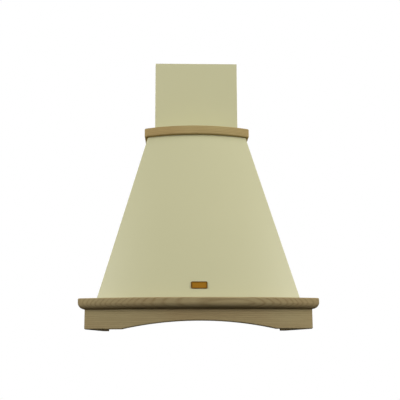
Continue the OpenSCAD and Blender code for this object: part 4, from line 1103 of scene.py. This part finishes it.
# %% Softened copies
def softened(node, finish, slot, edge=0.0, body="hood"):
    """Puts a smoothed copy in place of a node, with its edges eased by a width."""
    piece = copy_of(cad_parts[node], node + "_soft", Matrix.Identity(4))
    edit(piece)
    bpy.ops.mesh.remove_doubles(threshold=0.000002)
    if edge:
        bpy.ops.mesh.dissolve_limited(angle_limit=math.radians(0.5))
        ease(piece, edge, 50)
    smooth(piece, 32)
    dress(piece, finish, [node], body)


KEPT = [
    # node, finish, slot, width of the eased edges, body
    ("scroll_left", black_moulding, "black_moulding"),
    ("scroll_right", black_moulding, "black_moulding"),
    ("impeller", fan_steel, "fan_steel", 0, "fan"),
    ("motor_shaft", screw_steel, "bright_steel", 0, "fan"),
    ("motor_body", motor_alloy, "motor_alloy"),
    ("motor_spider", motor_alloy, "motor_alloy"),
    ("inlet_guard", zinc, "zinc_sheet"),
    ("rubber_bushes", rubber, "black_rubber"),
    ("outlet_collar", black_moulding, "black_moulding"),
    ("flap_front", grey_moulding, "grey_moulding", 0, "front_flap"),
    ("flap_rear", grey_moulding, "grey_moulding", 0, "rear_flap"),
    ("flap_pin", screw_steel, "bright_steel"),
    ("capacitor", can_white, "capacitor_can"),
    ("capacitor_clip", zinc, "zinc_sheet"),
    ("cable_gland", black_moulding, "black_moulding"),
    ("lamp_housings", fin_alloy, "lamp_alloy"),
    ("lamp_bezels", chrome, "chrome_trim"),
    ("pilot_light", pilot_red, "pilot_red"),
    ("blower_screws", screw_steel, "bright_steel"),
    ("filter_frame_left", filter_alloy, "filter_alloy", 0.0006, "filter_left"),
    ("filter_frame_right", filter_alloy, "filter_alloy", 0.0006, "filter_right"),
    ("corner_blocks", side_oak, "limed_oak", 0.0008),
    ("filter_latch_left", black_moulding, "black_moulding", 0.0006, "latch_left"),
    ("filter_latch_right", black_moulding, "black_moulding", 0.0006, "latch_right"),
    ("control_bezel", black_gloss, "black_gloss", 0.0005),
    ("control_housing", grey_moulding, "grey_moulding", 0.0008),
    ("switch_bank", ivory_moulding, "ivory_moulding", 0.0005),
    ("junction_box", grey_moulding, "grey_moulding", 0.0007),
    ("junction_lid", grey_moulding, "grey_moulding", 0.0008),
]
for entry in KEPT:
    softened(*entry)

coat(zinc, "back_panel", "chimney_bracket", "blower_bracket")
coat(cream, "top_plate")
coat(tray_steel, "base_tray")

# %% [markdown]
# ## Floor, background and light
# The photograph has a white background, and most of its soft light comes from both sides, so the
# wood is lightest at its ends and the undersides are dark. The power of each lamp was found by
# rendering the hood with one lamp at a time and fitting their sum to the photograph. A white
# room would fill the undersides with light, so white is shown only to camera, mirror and glass
# rays, while the room that lights the hood is grey and darker below. The floor lies well below
# the hood, as the cooker would. It keeps a soft shadow, and fades into the white at its rim.

# %% Studio
FLOOR_Z, FLOOR_WIDE = -1.75, 7

world = bpy.data.worlds.new("studio")
bpy.context.scene.world = world
world.use_nodes = True
sky = Shading(world.node_tree)
sky.nodes.clear()


def seen_directly(shading):
    """1 for what the camera sees, also in metal and through glass, and 0 for light on the hood."""
    rays = shading.node("ShaderNodeLightPath").outputs
    camera, glossy, through = (Level(shading, rays[f"Is {kind} Ray"])
                               for kind in ("Camera", "Glossy", "Transmission"))
    return shading.between(camera + glossy + through, 0.0, 1.0)


def grey(value):
    return (value, value, value, 1)


look = sky.node("ShaderNodeTexCoord").outputs["Generated"]
height = Level(sky, sky.node("ShaderNodeSeparateXYZ", {}, {0: look}).outputs[2])
shade = sky.blend(sky.between(height, -0.3, 0.7), (0.02, 0.02, 0.022, 1), (0.74, 0.74, 0.75, 1))
room = sky.node("ShaderNodeBackground", {}, {"Color": shade, "Strength": 0.2}).outputs[0]
white = sky.node("ShaderNodeBackground", {}, {"Color": grey(1), "Strength": 1.0}).outputs[0]
mixed = sky.node("ShaderNodeMixShader", {}, {0: seen_directly(sky), 1: room, 2: white}).outputs[0]
sky.node("ShaderNodeOutputWorld", {}, {"Surface": mixed})

pale = Finish("pale_floor", grey(0.8), 0.9)
seen = seen_directly(pale)
fx, fy, _ = pale.axes()
rim = pale.between((fx * fx + fy * fy) ** 0.5, 0.8, 3.4)
glow = pale.blend(rim, grey(0.3), grey(1))
pale.give(Base_Color=pale.blend(seen, grey(0.04), grey(0.93)),
          Emission_Color=pale.blend(seen, grey(0), glow), Emission_Strength=1.0)
rest()
bpy.ops.mesh.primitive_plane_add(size=FLOOR_WIDE, location=(0, 0, FLOOR_Z))
floor = keep_place("floor")
floor.data.materials.append(pale.material)

# %% Lamps
MIDDLE = Vector((0, -0.2, 0.35))
LAMPS = [
    # name, place, width and height, power in watts
    ("front", (0.3, -2.9, 2.1), (2.6, 1.8), 8),
    ("left", (-2.6, -1.7, 1.2), (1.6, 1.8), 71),
    ("right", (2.6, -1.6, 1.2), (1.6, 1.8), 62),
    ("low_right", (2.9, -0.8, 0.7), (1.6, 1.8), 19),
    ("above", (0.2, -1.2, 3.0), (2.4, 1.4), 9),
    ("back", (0.4, 2.6, 1.8), (1.8, 1.2), 22),
]
for name, place, (wide, tall), power in LAMPS:
    softbox = bpy.data.lights.new(name, "AREA")
    softbox.shape = "RECTANGLE"
    softbox.size, softbox.size_y, softbox.energy = wide, tall, power
    lamp = bpy.data.objects.new(name, softbox)
    lamp.location = place
    lamp.rotation_euler = (MIDDLE - lamp.location).to_track_quat("-Z", "Y").to_euler()
    bpy.context.scene.collection.objects.link(lamp)

bpy.context.scene.view_settings.view_transform = "Standard"
print("lamps", len(LAMPS), "with", sum(lamp[3] for lamp in LAMPS), "watts")

# %% [markdown]
# ## Finish
# The modelled hood has to keep the CAD model's size. At the end the scene is brought up to date.

# %% Bring the scene up to date
bpy.context.view_layer.update()
